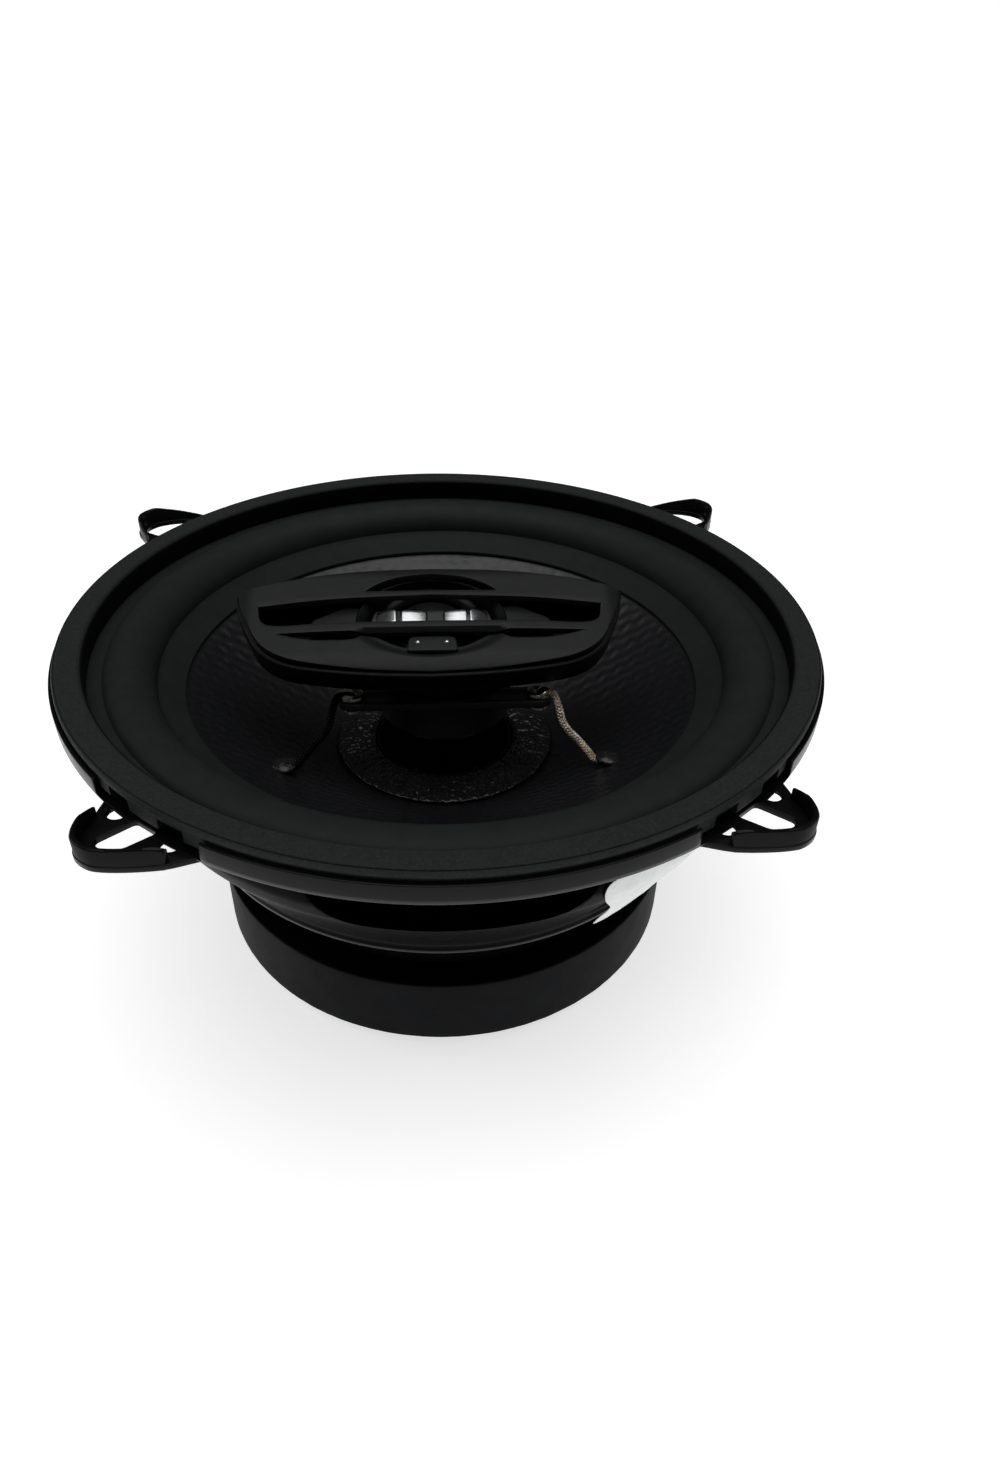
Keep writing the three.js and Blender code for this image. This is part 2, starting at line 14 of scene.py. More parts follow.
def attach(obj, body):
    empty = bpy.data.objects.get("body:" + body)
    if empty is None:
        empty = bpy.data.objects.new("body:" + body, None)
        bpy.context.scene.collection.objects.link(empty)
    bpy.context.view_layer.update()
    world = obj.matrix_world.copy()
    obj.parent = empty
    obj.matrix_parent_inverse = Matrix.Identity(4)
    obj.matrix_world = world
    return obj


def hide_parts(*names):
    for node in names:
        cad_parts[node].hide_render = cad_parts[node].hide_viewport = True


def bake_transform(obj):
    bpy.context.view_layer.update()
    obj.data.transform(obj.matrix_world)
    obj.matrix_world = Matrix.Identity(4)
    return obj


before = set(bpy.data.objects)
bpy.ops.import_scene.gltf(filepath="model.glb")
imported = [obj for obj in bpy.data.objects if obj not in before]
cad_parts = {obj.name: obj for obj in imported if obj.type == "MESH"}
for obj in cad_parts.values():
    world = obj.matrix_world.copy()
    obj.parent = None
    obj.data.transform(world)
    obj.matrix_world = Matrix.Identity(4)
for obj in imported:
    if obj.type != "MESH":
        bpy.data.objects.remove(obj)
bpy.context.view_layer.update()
MM = 0.001
SHARP_ANGLE = 38
DATUM = 1.2
LIFT = Matrix.Translation((0, 0, DATUM * MM))
TILT = math.atan(0.3)
POD = Matrix.Translation((-2.2 * MM, 0, 69.8 * MM)) @ Matrix.Rotation(TILT, 4, "X")
DISH_Y = -5.5
LUG = (16.4, -11.4)
CONE_EYELET = (34.9, -36.6, 47.4)


# ---------------------------------------------------------------- materials
def look(name, color, rough, metal=0.0, spec=0.5, tint=0.15, tint_scale=250.0,
         bump=0.1, bump_scale=2500.0, rough_spread=0.08, stretch=(1, 1, 1), dust_and_glints=0.0, second=None):
    """Principled material with a mottled colour, uneven roughness and a fine raised grain."""
    mat = bpy.data.materials.new(name)
    mat.use_nodes = True
    tree = mat.node_tree
    nodes, links = tree.nodes, tree.links
    shader = nodes["Principled BSDF"]
    shader.inputs["Metallic"].default_value = metal
    shader.inputs["Specular IOR Level"].default_value = spec
    coords = nodes.new("ShaderNodeTexCoord")
    mapping = nodes.new("ShaderNodeMapping")
    mapping.inputs["Scale"].default_value = stretch
    links.new(coords.outputs["Object"], mapping.inputs["Vector"])

    def grain(scale, detail=4.0, roughness=0.55):
        node = nodes.new("ShaderNodeTexNoise")
        node.inputs["Scale"].default_value = scale
        node.inputs["Detail"].default_value = detail
        node.inputs["Roughness"].default_value = roughness
        links.new(mapping.outputs["Vector"], node.inputs["Vector"])
        return node.outputs["Fac"]

    mix = nodes.new("ShaderNodeMix")
    mix.data_type = "RGBA"
    dark = [c * (1 - tint) for c in color]
    light = [min(1.0, c * (1 + tint)) for c in (second or color)]
    mix.inputs["A"].default_value = (*dark, 1)
    mix.inputs["B"].default_value = (*light, 1)
    ramp = nodes.new("ShaderNodeMapRange")
    ramp.inputs["From Min"].default_value = 0.3
    ramp.inputs["From Max"].default_value = 0.7
    links.new(grain(tint_scale), ramp.inputs["Value"])
    links.new(ramp.outputs["Result"], mix.inputs["Factor"])
    base = mix.outputs["Result"]
    # Light grey specks: dust on most materials, painted glints on the glue.
    if dust_and_glints:
        specks = nodes.new("ShaderNodeMapRange")
        specks.inputs["From Min"].default_value = 0.66
        specks.inputs["From Max"].default_value = 0.74
        links.new(grain(5200.0, 2.0), specks.inputs["Value"])
        amount = nodes.new("ShaderNodeMath")
        amount.operation = "MULTIPLY"
        amount.inputs[1].default_value = dust_and_glints
        links.new(specks.outputs["Result"], amount.inputs[0])
        over = nodes.new("ShaderNodeMix")
        over.data_type = "RGBA"
        over.inputs["B"].default_value = (0.55, 0.56, 0.56, 1)
        links.new(amount.outputs["Value"], over.inputs["Factor"])
        links.new(base, over.inputs["A"])
        base = over.outputs["Result"]
    links.new(base, shader.inputs["Base Color"])
    gloss = nodes.new("ShaderNodeMapRange")
    gloss.inputs["To Min"].default_value = max(0.03, rough - rough_spread)
    gloss.inputs["To Max"].default_value = min(1.0, rough + rough_spread)
    links.new(grain(tint_scale * 2.7, 3.0), gloss.inputs["Value"])
    links.new(gloss.outputs["Result"], shader.inputs["Roughness"])
    if bump:
        relief = nodes.new("ShaderNodeBump")
        relief.inputs["Strength"].default_value = bump
        relief.inputs["Distance"].default_value = 0.0001
        links.new(grain(bump_scale, 3.0), relief.inputs["Height"])
        links.new(relief.outputs["Normal"], shader.inputs["Normal"])
    return mat


def make_looks():
    return {
        "basket": look("gloss_black_paint", (0.0052, 0.0053, 0.0056), 0.24, spec=0.12, bump=0.05,
                       bump_scale=700, dust_and_glints=0.01),
        # Darker, less glossy copy of the basket paint: painted shade on the wall, where the gloss paint would
        # mirror the bright floor.
        "basket_wall": look("painted_shade_black_paint", (0.003, 0.003, 0.0032), 0.3, spec=0.01, bump=0.05,
                            bump_scale=700),
        "gasket": look("gasket_foam", (0.021, 0.0235, 0.0225), 0.7, spec=0.15, bump=0.5, bump_scale=3800,
                       tint=0.25, tint_scale=2200, dust_and_glints=0.08),
        "rubber": look("surround_rubber", (0.0205, 0.0228, 0.022), 0.5, spec=0.07, bump=0.16,
                       bump_scale=1800, tint=0.1, dust_and_glints=0.02),
        "cone": look("woven_cone", (0.005, 0.0056, 0.0058), 0.34, spec=0.42, bump=0.4, bump_scale=3000,
                     tint=0.3, tint_scale=1400, dust_and_glints=0.02, second=(0.0075, 0.0076, 0.0098)),
        # Dense light specks on the glue are painted glints.
        "glue": look("black_glue", (0.009, 0.009, 0.009), 0.2, bump=1.0, bump_scale=1500, tint=0.4,
                     spec=0.34, dust_and_glints=0.3),
        "former": look("former_paper", (0.003, 0.003, 0.003), 0.55, spec=0.1, bump=0.2, tint=0.2),
        "copper": look("copper_wire", (0.6, 0.29, 0.14), 0.3, metal=1.0, bump=0.4, stretch=(1, 1, 30),
                       bump_scale=300),
        # Near-black brown cloth: painted shade for the unlit inside of the basket.
        "spider": look("spider_cloth", (0.02, 0.014, 0.008), 0.85, spec=0.1, bump=0.8, bump_scale=2600,
                       tint=0.3, tint_scale=1800),
        "plastic": look("black_plastic", (0.0032, 0.0036, 0.0035), 0.4, spec=0.13, bump=0.25,
                        bump_scale=2200, dust_and_glints=0.01),
        "stem": look("satin_black_plastic", (0.02, 0.021, 0.0205), 0.36, spec=0.3, bump=0.2, bump_scale=1800),
        "film": look("dome_film", (0.008, 0.008, 0.009), 0.3, spec=0.3, bump=0.1, bump_scale=900, tint=0.2),
        "steel": look("zinc_steel", (0.42, 0.42, 0.43), 0.32, metal=1.0, bump=0.12, tint=0.1,
                      stretch=(1, 1, 6)),
        "ferrite": look("ferrite", (0.0046, 0.005, 0.0062), 0.55, spec=0.05, bump=0.3, bump_scale=1400,
                        tint=0.3, tint_scale=90, dust_and_glints=0.02),
        "face": look("satin_grey", (0.0128, 0.0138, 0.0135), 0.4, spec=0.15, bump=0.1, bump_scale=3000,
                     tint=0.06),
        # Dark chrome of the tweeter bar is painted shade; the bright silver makes painted highlights on the
        # tweeter and the face tab.
        "bridge": look("painted_shade_chrome", (0.035, 0.036, 0.038), 0.3, spec=0.4, metal=0.3, bump=0.05, tint=0.1),
        "silver": look("painted_highlight_silver", (0.5, 0.51, 0.52), 0.16, metal=1.0, bump=0.05, tint=0.08,
                       rough_spread=0.06),
        "tinned": look("tinned_brass", (0.7, 0.68, 0.63), 0.22, metal=1.0, bump=0.3, bump_scale=900,
                       tint=0.12),
        "braid": look("braided_copper", (0.52, 0.42, 0.33), 0.4, metal=0.4, bump=0.3, tint=0.25,
                      tint_scale=900, second=(0.72, 0.62, 0.52)),
        # Near-black colour for the left lead.
        "coated": look("near_black_lead", (0.003, 0.0028, 0.0026), 0.4, spec=0.1, bump=0.6, bump_scale=1200,
                       tint=0.3),
        "paper": look("label_paper", (0.9, 0.92, 0.915), 0.7, bump=0.35, bump_scale=900, tint=0.06,
                      tint_scale=400),
        "board": look("laminate", (0.12, 0.06, 0.02), 0.5, bump=0.25, bump_scale=900, tint=0.25,
                      tint_scale=500),
        "rivet": look("dark_rivet", (0.2, 0.2, 0.21), 0.3, metal=1.0, bump=0.15, tint=0.1),
    }


LOOKS = make_looks()


# ---------------------------------------------------------------- mesh helpers
def as_object(name, bm, angle):
    mesh = bpy.data.meshes.new(name)
    bm.transform(LIFT)
    bmesh.ops.remove_doubles(bm, verts=bm.verts, dist=1e-7)
    bmesh.ops.recalc_face_normals(bm, faces=bm.faces)
    bm.to_mesh(mesh)
    bm.free()
    mesh.shade_smooth()
    mesh.set_sharp_from_angle(angle=math.radians(angle))
    obj = bpy.data.objects.new(name, mesh)
    bpy.context.collection.objects.link(obj)
    return obj


def from_lists(name, verts, faces, matrix=None, angle=SHARP_ANGLE):
    bm = bmesh.new()
    made = [bm.verts.new([c * MM for c in v]) for v in verts]
    for face in faces:
        if len(set(face)) == len(face):
            bm.faces.new([made[i] for i in face])
    if matrix is not None:
        bm.transform(matrix)
    return as_object(name, bm, angle)


def soften(points, radius, steps=4, closed=True):
    """Rounds the corners of an outline with short curves."""
    result = []
    count = len(points)
    for i, p in enumerate(points):
        if not closed and i in (0, count - 1):
            result.append(p)
            continue
        before, after = points[i - 1], points[(i + 1) % count]
        ends = []
        for q in (before, after):
            length = math.dist(p, q)
            reach = min(radius, length * 0.45)
            ends.append([p[0] + (q[0] - p[0]) * reach / length, p[1] + (q[1] - p[1]) * reach / length])
        for k in range(steps + 1):
            t = k / steps
            result.append([(1 - t) ** 2 * ends[0][c] + 2 * t * (1 - t) * p[c] + t * t * ends[1][c]
                           for c in (0, 1)])
    return result


def revolve(name, profile, segments=192, matrix=None, warp=None, angle=SHARP_ANGLE):
    """Closed ring or solid of revolution about Z. warp(radius, height, turn) may shift a point."""
    count = len(profile)
    verts = []
    for s in range(segments):
        turn = 2 * math.pi * s / segments
        for r, z in profile:
            if warp:
                r, z = warp(r, z, turn)
            verts.append((r * math.cos(turn), r * math.sin(turn), z))
    faces = []
    for s in range(segments):
        a, b = s * count, ((s + 1) % segments) * count
        for i in range(count):
            j = (i + 1) % count
            faces.append((a + i, b + i, b + j, a + j))
    return from_lists(name, verts, faces, matrix, angle)


def plate(name, loops, z0, z1, bevel=0.12, matrix=None):
    """Flat sheet with holes and rounded edges, from closed outlines."""
    curve = bpy.data.curves.new(name, "CURVE")
    curve.dimensions = "2D"
    curve.fill_mode = "BOTH"
    curve.extrude = ((z1 - z0) / 2 - bevel) * MM
    curve.bevel_depth = bevel * MM
    curve.bevel_resolution = 2
    for loop in loops:
        spline = curve.splines.new("POLY")
        spline.points.add(len(loop) - 1)
        for point, (x, y) in zip(spline.points, loop):
            point.co = (x * MM, y * MM, 0, 1)
        spline.use_cyclic_u = True
    source = bpy.data.objects.new(name, curve)
    bpy.context.collection.objects.link(source)
    bpy.context.view_layer.update()
    mesh = bpy.data.meshes.new_from_object(source.evaluated_get(bpy.context.evaluated_depsgraph_get()))
    bpy.data.objects.remove(source)
    bm = bmesh.new()
    bm.from_mesh(mesh)
    bpy.data.meshes.remove(mesh)
    bm.transform(Matrix.Translation((0, 0, (z0 + z1) / 2 * MM)))
    if matrix is not None:
        bm.transform(matrix)
    return as_object(name, bm, SHARP_ANGLE)


def bake(obj):
    """Applies an object's modifiers."""
    bpy.context.view_layer.update()
    mesh = bpy.data.meshes.new_from_object(obj.evaluated_get(bpy.context.evaluated_depsgraph_get()))
    obj.modifiers.clear()
    obj.data = mesh
    mesh.shade_smooth()
    mesh.set_sharp_from_angle(angle=math.radians(SHARP_ANGLE))
    return obj


def cut(obj, cutters):
    for cutter in cutters:
        step = obj.modifiers.new("cut", "BOOLEAN")
        step.operation = "DIFFERENCE"
        step.solver = "EXACT"
        step.object = cutter
    bake(obj)
    for cutter in cutters:
        bpy.data.objects.remove(cutter)
    return obj


def soft_edges(obj, width, segments=2, angle=35):
    step = obj.modifiers.new("edges", "BEVEL")
    step.width = width * MM
    step.segments = segments
    step.limit_method = "ANGLE"
    step.angle_limit = math.radians(angle)
    return bake(obj)


def join(pieces):
    with bpy.context.temp_override(active_object=pieces[0], object=pieces[0], selected_objects=pieces,
                                   selected_editable_objects=pieces):
        bpy.ops.object.join()
    return pieces[0]


def dress(obj, material, slot, body, *nodes):
    obj.data.materials.clear()
    obj.data.materials.append(LOOKS[material])
    if nodes:
        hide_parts(*nodes)
    if body:
        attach(obj, body)
    return obj


def polar(radius, degrees):
    return (radius * math.cos(math.radians(degrees)), radius * math.sin(math.radians(degrees)))


def rectangle(half_x, half_y, x=0.0, y=0.0):
    return [(x + i * half_x, y + k * half_y) for i, k in ((-1, -1), (1, -1), (1, 1), (-1, 1))]


def circle(radius, x=0.0, y=0.0, count=32):
    return [(x + radius * math.cos(2 * math.pi * i / count), y + radius * math.sin(2 * math.pi * i / count))
            for i in range(count)]


def spline_through(points, per=8):
    """Catmull-Rom line through points of any dimension."""
    pts = [np.array(p, float) for p in points]
    last = len(pts) - 1
    out = []
    for i in range(last):
        p0, p1, p2, p3 = (pts[min(max(i + k, 0), last)] for k in (-1, 0, 1, 2))
        for k in range(per):
            t = k / per
            out.append(0.5 * (2 * p1 + (p2 - p0) * t + (2 * p0 - 5 * p1 + 4 * p2 - p3) * t * t
                              + (3 * p1 - p0 - 3 * p2 + p3) * t ** 3))
    return [tuple(p) for p in [*out, pts[-1]]]


def smooth_step(t):
    t = min(1.0, max(0.0, t))
    return t * t * (3 - 2 * t)


def subdivided(points, spacing):
    """Closed outline with extra points, so that none are further apart than the spacing."""
    result = []
    for p, q in zip(points, points[1:] + points[:1]):
        cuts = max(1, int(math.dist(p, q) / spacing))
        result += [(p[0] + (q[0] - p[0]) * k / cuts, p[1] + (q[1] - p[1]) * k / cuts) for k in range(cuts)]
    return result


def slab(name, near, far, matrix=None):
    """Closed solid between two outlines with the same number of points."""
    count = len(near)
    faces = [tuple(range(count)), tuple(range(count, 2 * count))]
    faces += [(i, (i + 1) % count, count + (i + 1) % count, count + i) for i in range(count)]
    return from_lists(name, [*near, *far], faces, matrix)


def prism(name, loop, z0, z1, matrix=None):
    return slab(name, [(x, y, z0) for x, y in loop], [(x, y, z1) for x, y in loop], matrix)


def sector(name, r0, r1, a0, a1, z0, z1, steps=12):
    loop = [polar(r1, a0 + (a1 - a0) * i / steps) for i in range(steps + 1)]
    loop += [polar(r0, a1 - (a1 - a0) * i / steps) for i in range(steps + 1)]
    return prism(name, loop, z0, z1)


# ---------------------------------------------------------------- basket
EARS = [(228.5, 1, 0.0), (311.5, -1, 0.0), (144.2, -1, 2.8), (39.1, 1, 2.8)]
EAR_PLATE = [(-7.6, 63.2), (-7.4, 66.0), (-5.9, 68.4), (-4.7, 70.2), (-3.6, 73.2), (-2.3, 74.8), (-1.0, 75.6),
             (1.0, 75.5), (2.7, 74.4), (5.4, 71.9), (7.6, 69.7), (9.8, 66.6), (10.4, 65.9), (10.4, 63.2)]
EAR_WALL = [(-4.9, 70.0), (-4.2, 71.8), (-3.4, 73.4), (-2.3, 74.8), (-1.0, 75.6), (1.0, 75.5), (2.7, 74.4),
            (5.4, 71.9), (7.6, 69.7)]
BACK_EAR_WALL = [*EAR_WALL[:-1], (7.8, 70.3), (9.8, 68.9), (11.6, 67.6)]
EAR_OPENING = [(-1.2, 65.8), (-1.9, 72.3), (-0.4, 73.0), (1.9, 70.9), (3.0, 65.7)]
BACK_EAR_OPENING = [(-2.6, 69.0), (-2.6, 73.0), (-1.0, 74.3), (1.0, 74.2), (2.7, 73.1), (5.2, 70.7),
                    (5.2, 68.6)]
BACK_EAR_ROOT = 66.6
EAR_HOLES = [(-4.0, 66.7), (5.7, 66.4)]
EAR_HOLE_R = 1.7
FLANGE_BOTTOM, FLANGE_TOP = 59.0, 60.0
BASKET_OUTSIDE = [(15.5, 22.7), (41.8, 22.7), (43.0, 23.2), (43.6, 24.6), (44.2, 27.4), (45.6, 28.4),
                  (47.6, 28.7), (48.4, 29.4), (48.4, 30.9), (48.7, 31.8), (56.2, 43.2), (57.6, 47.0),
                  (58.3, 57.6), (58.9, 58.6), (59.9, 59.0)]
BASKET_LIP = [(66.0, 59.0), (66.75, 59.6), (67.0, 60.5), (67.0, 63.2), (66.35, 63.2), (66.35, 60.0)]
BASKET_INSIDE = [(59.5, 60.0), (58.2, 59.4), (57.2, 57.9), (56.5, 47.3), (55.2, 43.7), (47.7, 32.2),
                 (47.3, 30.6), (46.9, 29.9), (45.0, 29.5), (43.4, 28.6), (42.9, 27.4), (42.5, 24.6),
                 (41.9, 23.8), (15.5, 23.8)]
# Radius and heights of the wall that gets the painted shade copy of the paint.
SHADED_WALL_R = 40
SHADED_WALL_Z = (30, 58)
BASKET_WINDOW = [(-18.5, 42.9), (18.5, 42.9), (25.5, 56.8), (-25.5, 56.8)]


def ear_xy(ear, points):
    centre, sense, _ = ear
    return [polar(radius, centre + sense * offset) for offset, radius in points]


def ear(index):
    """Stamped ear. The back ones are stepped up and start on top of the rim's lip."""
    place = EARS[index]
    lift = place[2]
    if lift:
        outline = spline_through(ear_xy(place, [(o, max(r, BACK_EAR_ROOT)) for o, r in EAR_PLATE[1:-1]]), 4)
        outline += ear_xy(place, [(o, BACK_EAR_ROOT) for o in (8, 6, 4, 2, 0, -2, -4, -6)])
        loops = [outline, soften(ear_xy(place, BACK_EAR_OPENING), 0.9, 5)]
    else:
        outline = spline_through(ear_xy(place, EAR_PLATE[1:-1]), 4)
        outline = ear_xy(place, EAR_PLATE[:1]) + outline + ear_xy(place, EAR_PLATE[-1:])
        loops = [outline, soften(ear_xy(place, EAR_OPENING), 0.9, 5)]
        loops += [circle(EAR_HOLE_R, *ear_xy(place, [hole])[0]) for hole in EAR_HOLES]
    pieces = [plate(f"ear_plate_{index}", loops, FLANGE_BOTTOM + lift, FLANGE_TOP + lift, 0.16)]
    pieces.append(ear_wall(index, place))
    if not lift:
        pieces += [ear_bead(index, place, hole) for hole in EAR_HOLES]
    return pieces


def ear_wall(index, place):
    """Upturned lip round the ear, ending in a raised hook."""
    lifted = place[2] > 0
    line = spline_through(BACK_EAR_WALL if lifted else EAR_WALL, 6)
    count = len(line)
    verts = []
    for i, (offset, radius) in enumerate(line):
        start = i / (count - 1)
        hook = max(0.0, 1 - start / 0.16)
        tail = max(0.0, (start - 0.93) / 0.07)
        foot = FLANGE_BOTTOM
        if lifted:
            slope = smooth_step((start - 0.5) / 0.5)
            top = 62.9 - 4.4 * slope - 1.6 * smooth_step(1 - start / 0.2)
            foot -= 1.2 * slope
        else:
            top = 62.8 - 0.9 * hook - 0.5 * tail
        shift = -0.2 * hook
        section = [(0.0, foot + 0.3), (0.15, foot), (-0.25, foot), (-0.9, foot + 0.4), (-0.9, top - 0.2),
                   (-0.7, top), (-0.2, top), (0.0, top - 0.2)]
        for out, z in section:
            lean = shift * max(0.0, (z - FLANGE_TOP) / 3.5)
            x, y = ear_xy(place, [(offset + lean, radius + out)])[0]
            verts.append((x, y, z + place[2]))
    ring = 8
    faces = [tuple(range(ring)), tuple(range((count - 1) * ring, count * ring))]
    for i in range(count - 1):
        for k in range(ring):
            a, b = i * ring + k, i * ring + (k + 1) % ring
            faces.append((a, b, b + ring, a + ring))
    return from_lists(f"ear_wall_{index}", verts, faces, angle=50)


def ear_bead(index, place, hole):
    """Small pressed bead between a screw hole and the rim."""
    offset, radius = hole
    x, y = ear_xy(place, [(offset, radius - 2.5)])[0]
    turn = math.radians(place[0] + place[1] * offset)
    bm = bmesh.new()
    bmesh.ops.create_uvsphere(bm, u_segments=20, v_segments=10, radius=1.0 * MM)
    bm.transform(Matrix.Translation((x * MM, y * MM, FLANGE_TOP * MM)) @ Matrix.Rotation(turn, 4, "Z")
                 @ Matrix.Diagonal((0.55, 1.7, 0.5, 1)))
    return as_object(f"ear_bead_{index}", bm, 60)


def window(turn):
    outline = soften(BASKET_WINDOW, 6, 10)
    near, far = ([(x, y, z) for x, z in outline] for y in (-38, -68))
    return slab(f"window_{turn}", near, far, Matrix.Rotation(turn * math.pi / 2, 4, "Z"))


def basket():
    lip = soften(BASKET_LIP, 0.2, 3, closed=False)
    wall_out = soften(BASKET_OUTSIDE, 0.9, 4, closed=False)
    wall_in = soften(BASKET_INSIDE, 0.8, 4, closed=False)
    body = revolve("basket_cup", [*wall_out, *lip, *wall_in], 256)
    cutters = [window(i) for i in range(4)]
    for i, place in enumerate(EARS[:2]):
        a, b = sorted((place[0] - 8.4 * place[1], place[0] + 10.9 * place[1]))
        cutters.append(sector(f"lip_gap_{i}", 65.9, 68, a, b, 60.02, 65))
        loop = soften(ear_xy(place, EAR_OPENING), 0.9, 5)
        cutters.append(prism(f"ear_gap_{i}", loop, 57, 62))
    cut(body, cutters)
    soft_edges(body, 0.22, 2, 40)
    ears = [piece for i in range(4) for piece in ear(i)]
    shell = dress(join([body, *ears]), "basket", "basket", "frame", "basket_frame")
    # Wall faces between these heights take the darker copy of the paint: painted shade.
    shell.data.materials.append(LOOKS["basket_wall"])
    low, high = SHADED_WALL_Z
    for face in shell.data.polygons:
        if low < face.center.z / MM - DATUM < high and face.center.to_2d().length > SHADED_WALL_R * MM:
            face.material_index = 1
    return shell


def basket_rivets():
    for i, angle in enumerate((45, 135, 225, 315)):
        profile = [(0.0, 21.0), (1.6, 21.0), (1.6, 24.0), (3.0, 24.0), (2.6, 24.8), (0.0, 25.2)]
        x, y = polar(33, angle)
        seat = Matrix.Translation((x * MM, y * MM, 0))
        piece = revolve(f"rivet_look_{i + 1}", soften(profile, 0.3, 3), 32, seat)
        dress(piece, "rivet", "rivet", "frame", f"basket_rivet_{i + 1}")


LABEL_LINE = [(49.0, 29.2), (56.6, 42.8), (58.0, 46.8), (58.25, 49.8)]
LABEL_TURN = -50
LABEL_SPAN = 24
LABEL_LEAN = 5.0
LABEL_R = 52


def label():
    """Blank paper sticker across a basket leg, a little loose at its edges."""
    line = [np.array(p) for p in soften(LABEL_LINE, 2.0, 6, closed=False)]
    reach = np.r_[0, np.cumsum([np.linalg.norm(b - a) for a, b in zip(line, line[1:])])]
    rows, cols, corner = 44, 44, 2.2
    width = math.radians(LABEL_SPAN) * LABEL_R
    verts = []
    for side in (0.0, 0.12):
        for i in range(rows + 1):
            up = reach[-1] * i / rows
            r = float(np.interp(up, reach, [p[0] for p in line]))
            z = float(np.interp(up, reach, [p[1] for p in line]))
            edge = min(up, reach[-1] - up, corner)
            pull = corner - math.sqrt(max(0.0, corner ** 2 - (corner - edge) ** 2))
            for k in range(cols + 1):
                across = (k / cols - 0.5) * (width - 2 * pull)
                wave = 0.16 * noise.noise(Vector((i * 0.16, k * 0.14, 3.0)))
                lean = LABEL_LEAN * max(0.0, 0.5 - k / cols) * 2 * smooth_step((z - 36) / 11)
                angle = LABEL_TURN - lean + math.degrees(across / LABEL_R)
                verts.append((*polar(r + side + wave, angle), z + 0.05))
    line_size = cols + 1
    size = (rows + 1) * line_size
    starts = [i * line_size + k for i in range(rows) for k in range(cols)]
    quads = [(a, a + 1, a + 1 + line_size, a + line_size) for a in starts]
    faces = quads + [tuple(q + size for q in quad) for quad in quads]
    rim = list(range(cols)) + [cols + i * line_size for i in range(rows)]
    rim += [rows * line_size + cols - k for k in range(cols)] + [(rows - i) * line_size for i in range(rows)]
    faces += [(a, b, b + size, a + size) for a, b in zip(rim, rim[1:] + rim[:1])]
    dress(from_lists("label_look", verts, faces), "paper", "paper", "frame", "basket_label")


# ---------------------------------------------------------------- cone, surround, gasket
def gasket():
    profile = [(61.8, 60.9), (65.8, 60.9), (66.0, 61.2), (66.0, 63.5), (66.32, 63.95), (66.3, 64.4),
               (66.12, 64.78), (66.0, 64.86), (65.9, 64.66), (65.8, 64.66), (65.7, 65.0), (62.2, 65.0),
               (61.8, 64.65)]
    ring = revolve("gasket_look", soften(profile, 0.12, 3), 288)
    cutters = []
    for centre, sense, _ in EARS[:2]:
        for offset, _ in EAR_HOLES:
            at = centre + sense * offset
            cutters.append(sector(f"notch_{at:.0f}", 63.4, 66.2, at - 2.1, at + 2.1, 60, 63.1))
    cut(ring, cutters)
    dress(ring, "gasket", "gasket", "frame", "front_gasket")
    # Near-black sheet on the gasket's inner wall: painted shade for the unlit wall.
    shade_sheet = soften([(61.55, 60.9), (61.8, 60.9), (61.8, 64.5), (61.7, 64.6), (61.55, 64.4)], 0.08, 3)
    dress(revolve("gasket_wall_shade_sheet", shade_sheet, 256), "former", "gasket", "frame")


def radial_blend(obj):
    """Bakes the object's transform into its mesh and reads its vertex positions, which it leaves unchanged.
    """
    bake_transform(obj)
    co = np.zeros(len(obj.data.vertices) * 3)
    obj.data.vertices.foreach_get("co", co)
    co = co.reshape(-1, 3)


def surround():
    def roll(reach, base, height):
        turns = [10 + 170 * i / 22 for i in range(23)]
        return [(54.95 + reach * math.cos(math.radians(a)),
                 base - 2.7 * a / 180 + height * math.sin(math.radians(a))) for a in turns]

    top = [(64.4, 60.6), (60.6, 60.6), (59.6, 60.5), *roll(4.3, 60.2, 3.2), (50.3, 57.2), (49.9, 56.8),
           (46.6, 54.75), (46.4, 54.55)]
    under = [(46.4, 54.15), (50.9, 56.55), *roll(3.85, 59.8, 3.1)[::-1], (59.3, 60.2), (64.4, 60.2)]
    piece = revolve("surround_look", [*top, *under], 256)
    dress(piece, "rubber", "surround_rubber", None, "surround")
    radial_blend(piece)


CONE_TOP = [(51.1, 56.3), (46.4, 53.7), (42.0, 50.9), (30.0, 43.3), (20.4, 37.4), (16.0, 36.2), (13.5, 36.2)]


def weave(x, y):
    """Height of the cloth pattern: rows of short pillows, staggered like brickwork."""
    row_pitch, dash = 2.45, 3.0
    bend = 0.3 * math.sin(2 * math.pi * x / dash) + 0.6 * noise.noise(Vector((x * 0.11, y * 0.11, 0)))
    row = (y + bend) / row_pitch
    number = math.floor(row)
    across = math.sin(math.pi * (row - number)) ** 2
    along = 0.5 + 0.5 * math.cos(2 * math.pi * (x / dash + 0.5 * (number % 2)))
    radius = math.hypot(x, y)
    fade = min(1.0, max(0.0, (radius - 19) / 12)) * min(1.0, max(0.0, (46.3 - radius) / 0.8))
    worn = 0.75 + 0.45 * noise.noise(Vector((x * 0.09, y * 0.09, 4.0)))
    return 0.24 * fade ** 1.3 * worn * across * (0.5 + 0.5 * along)


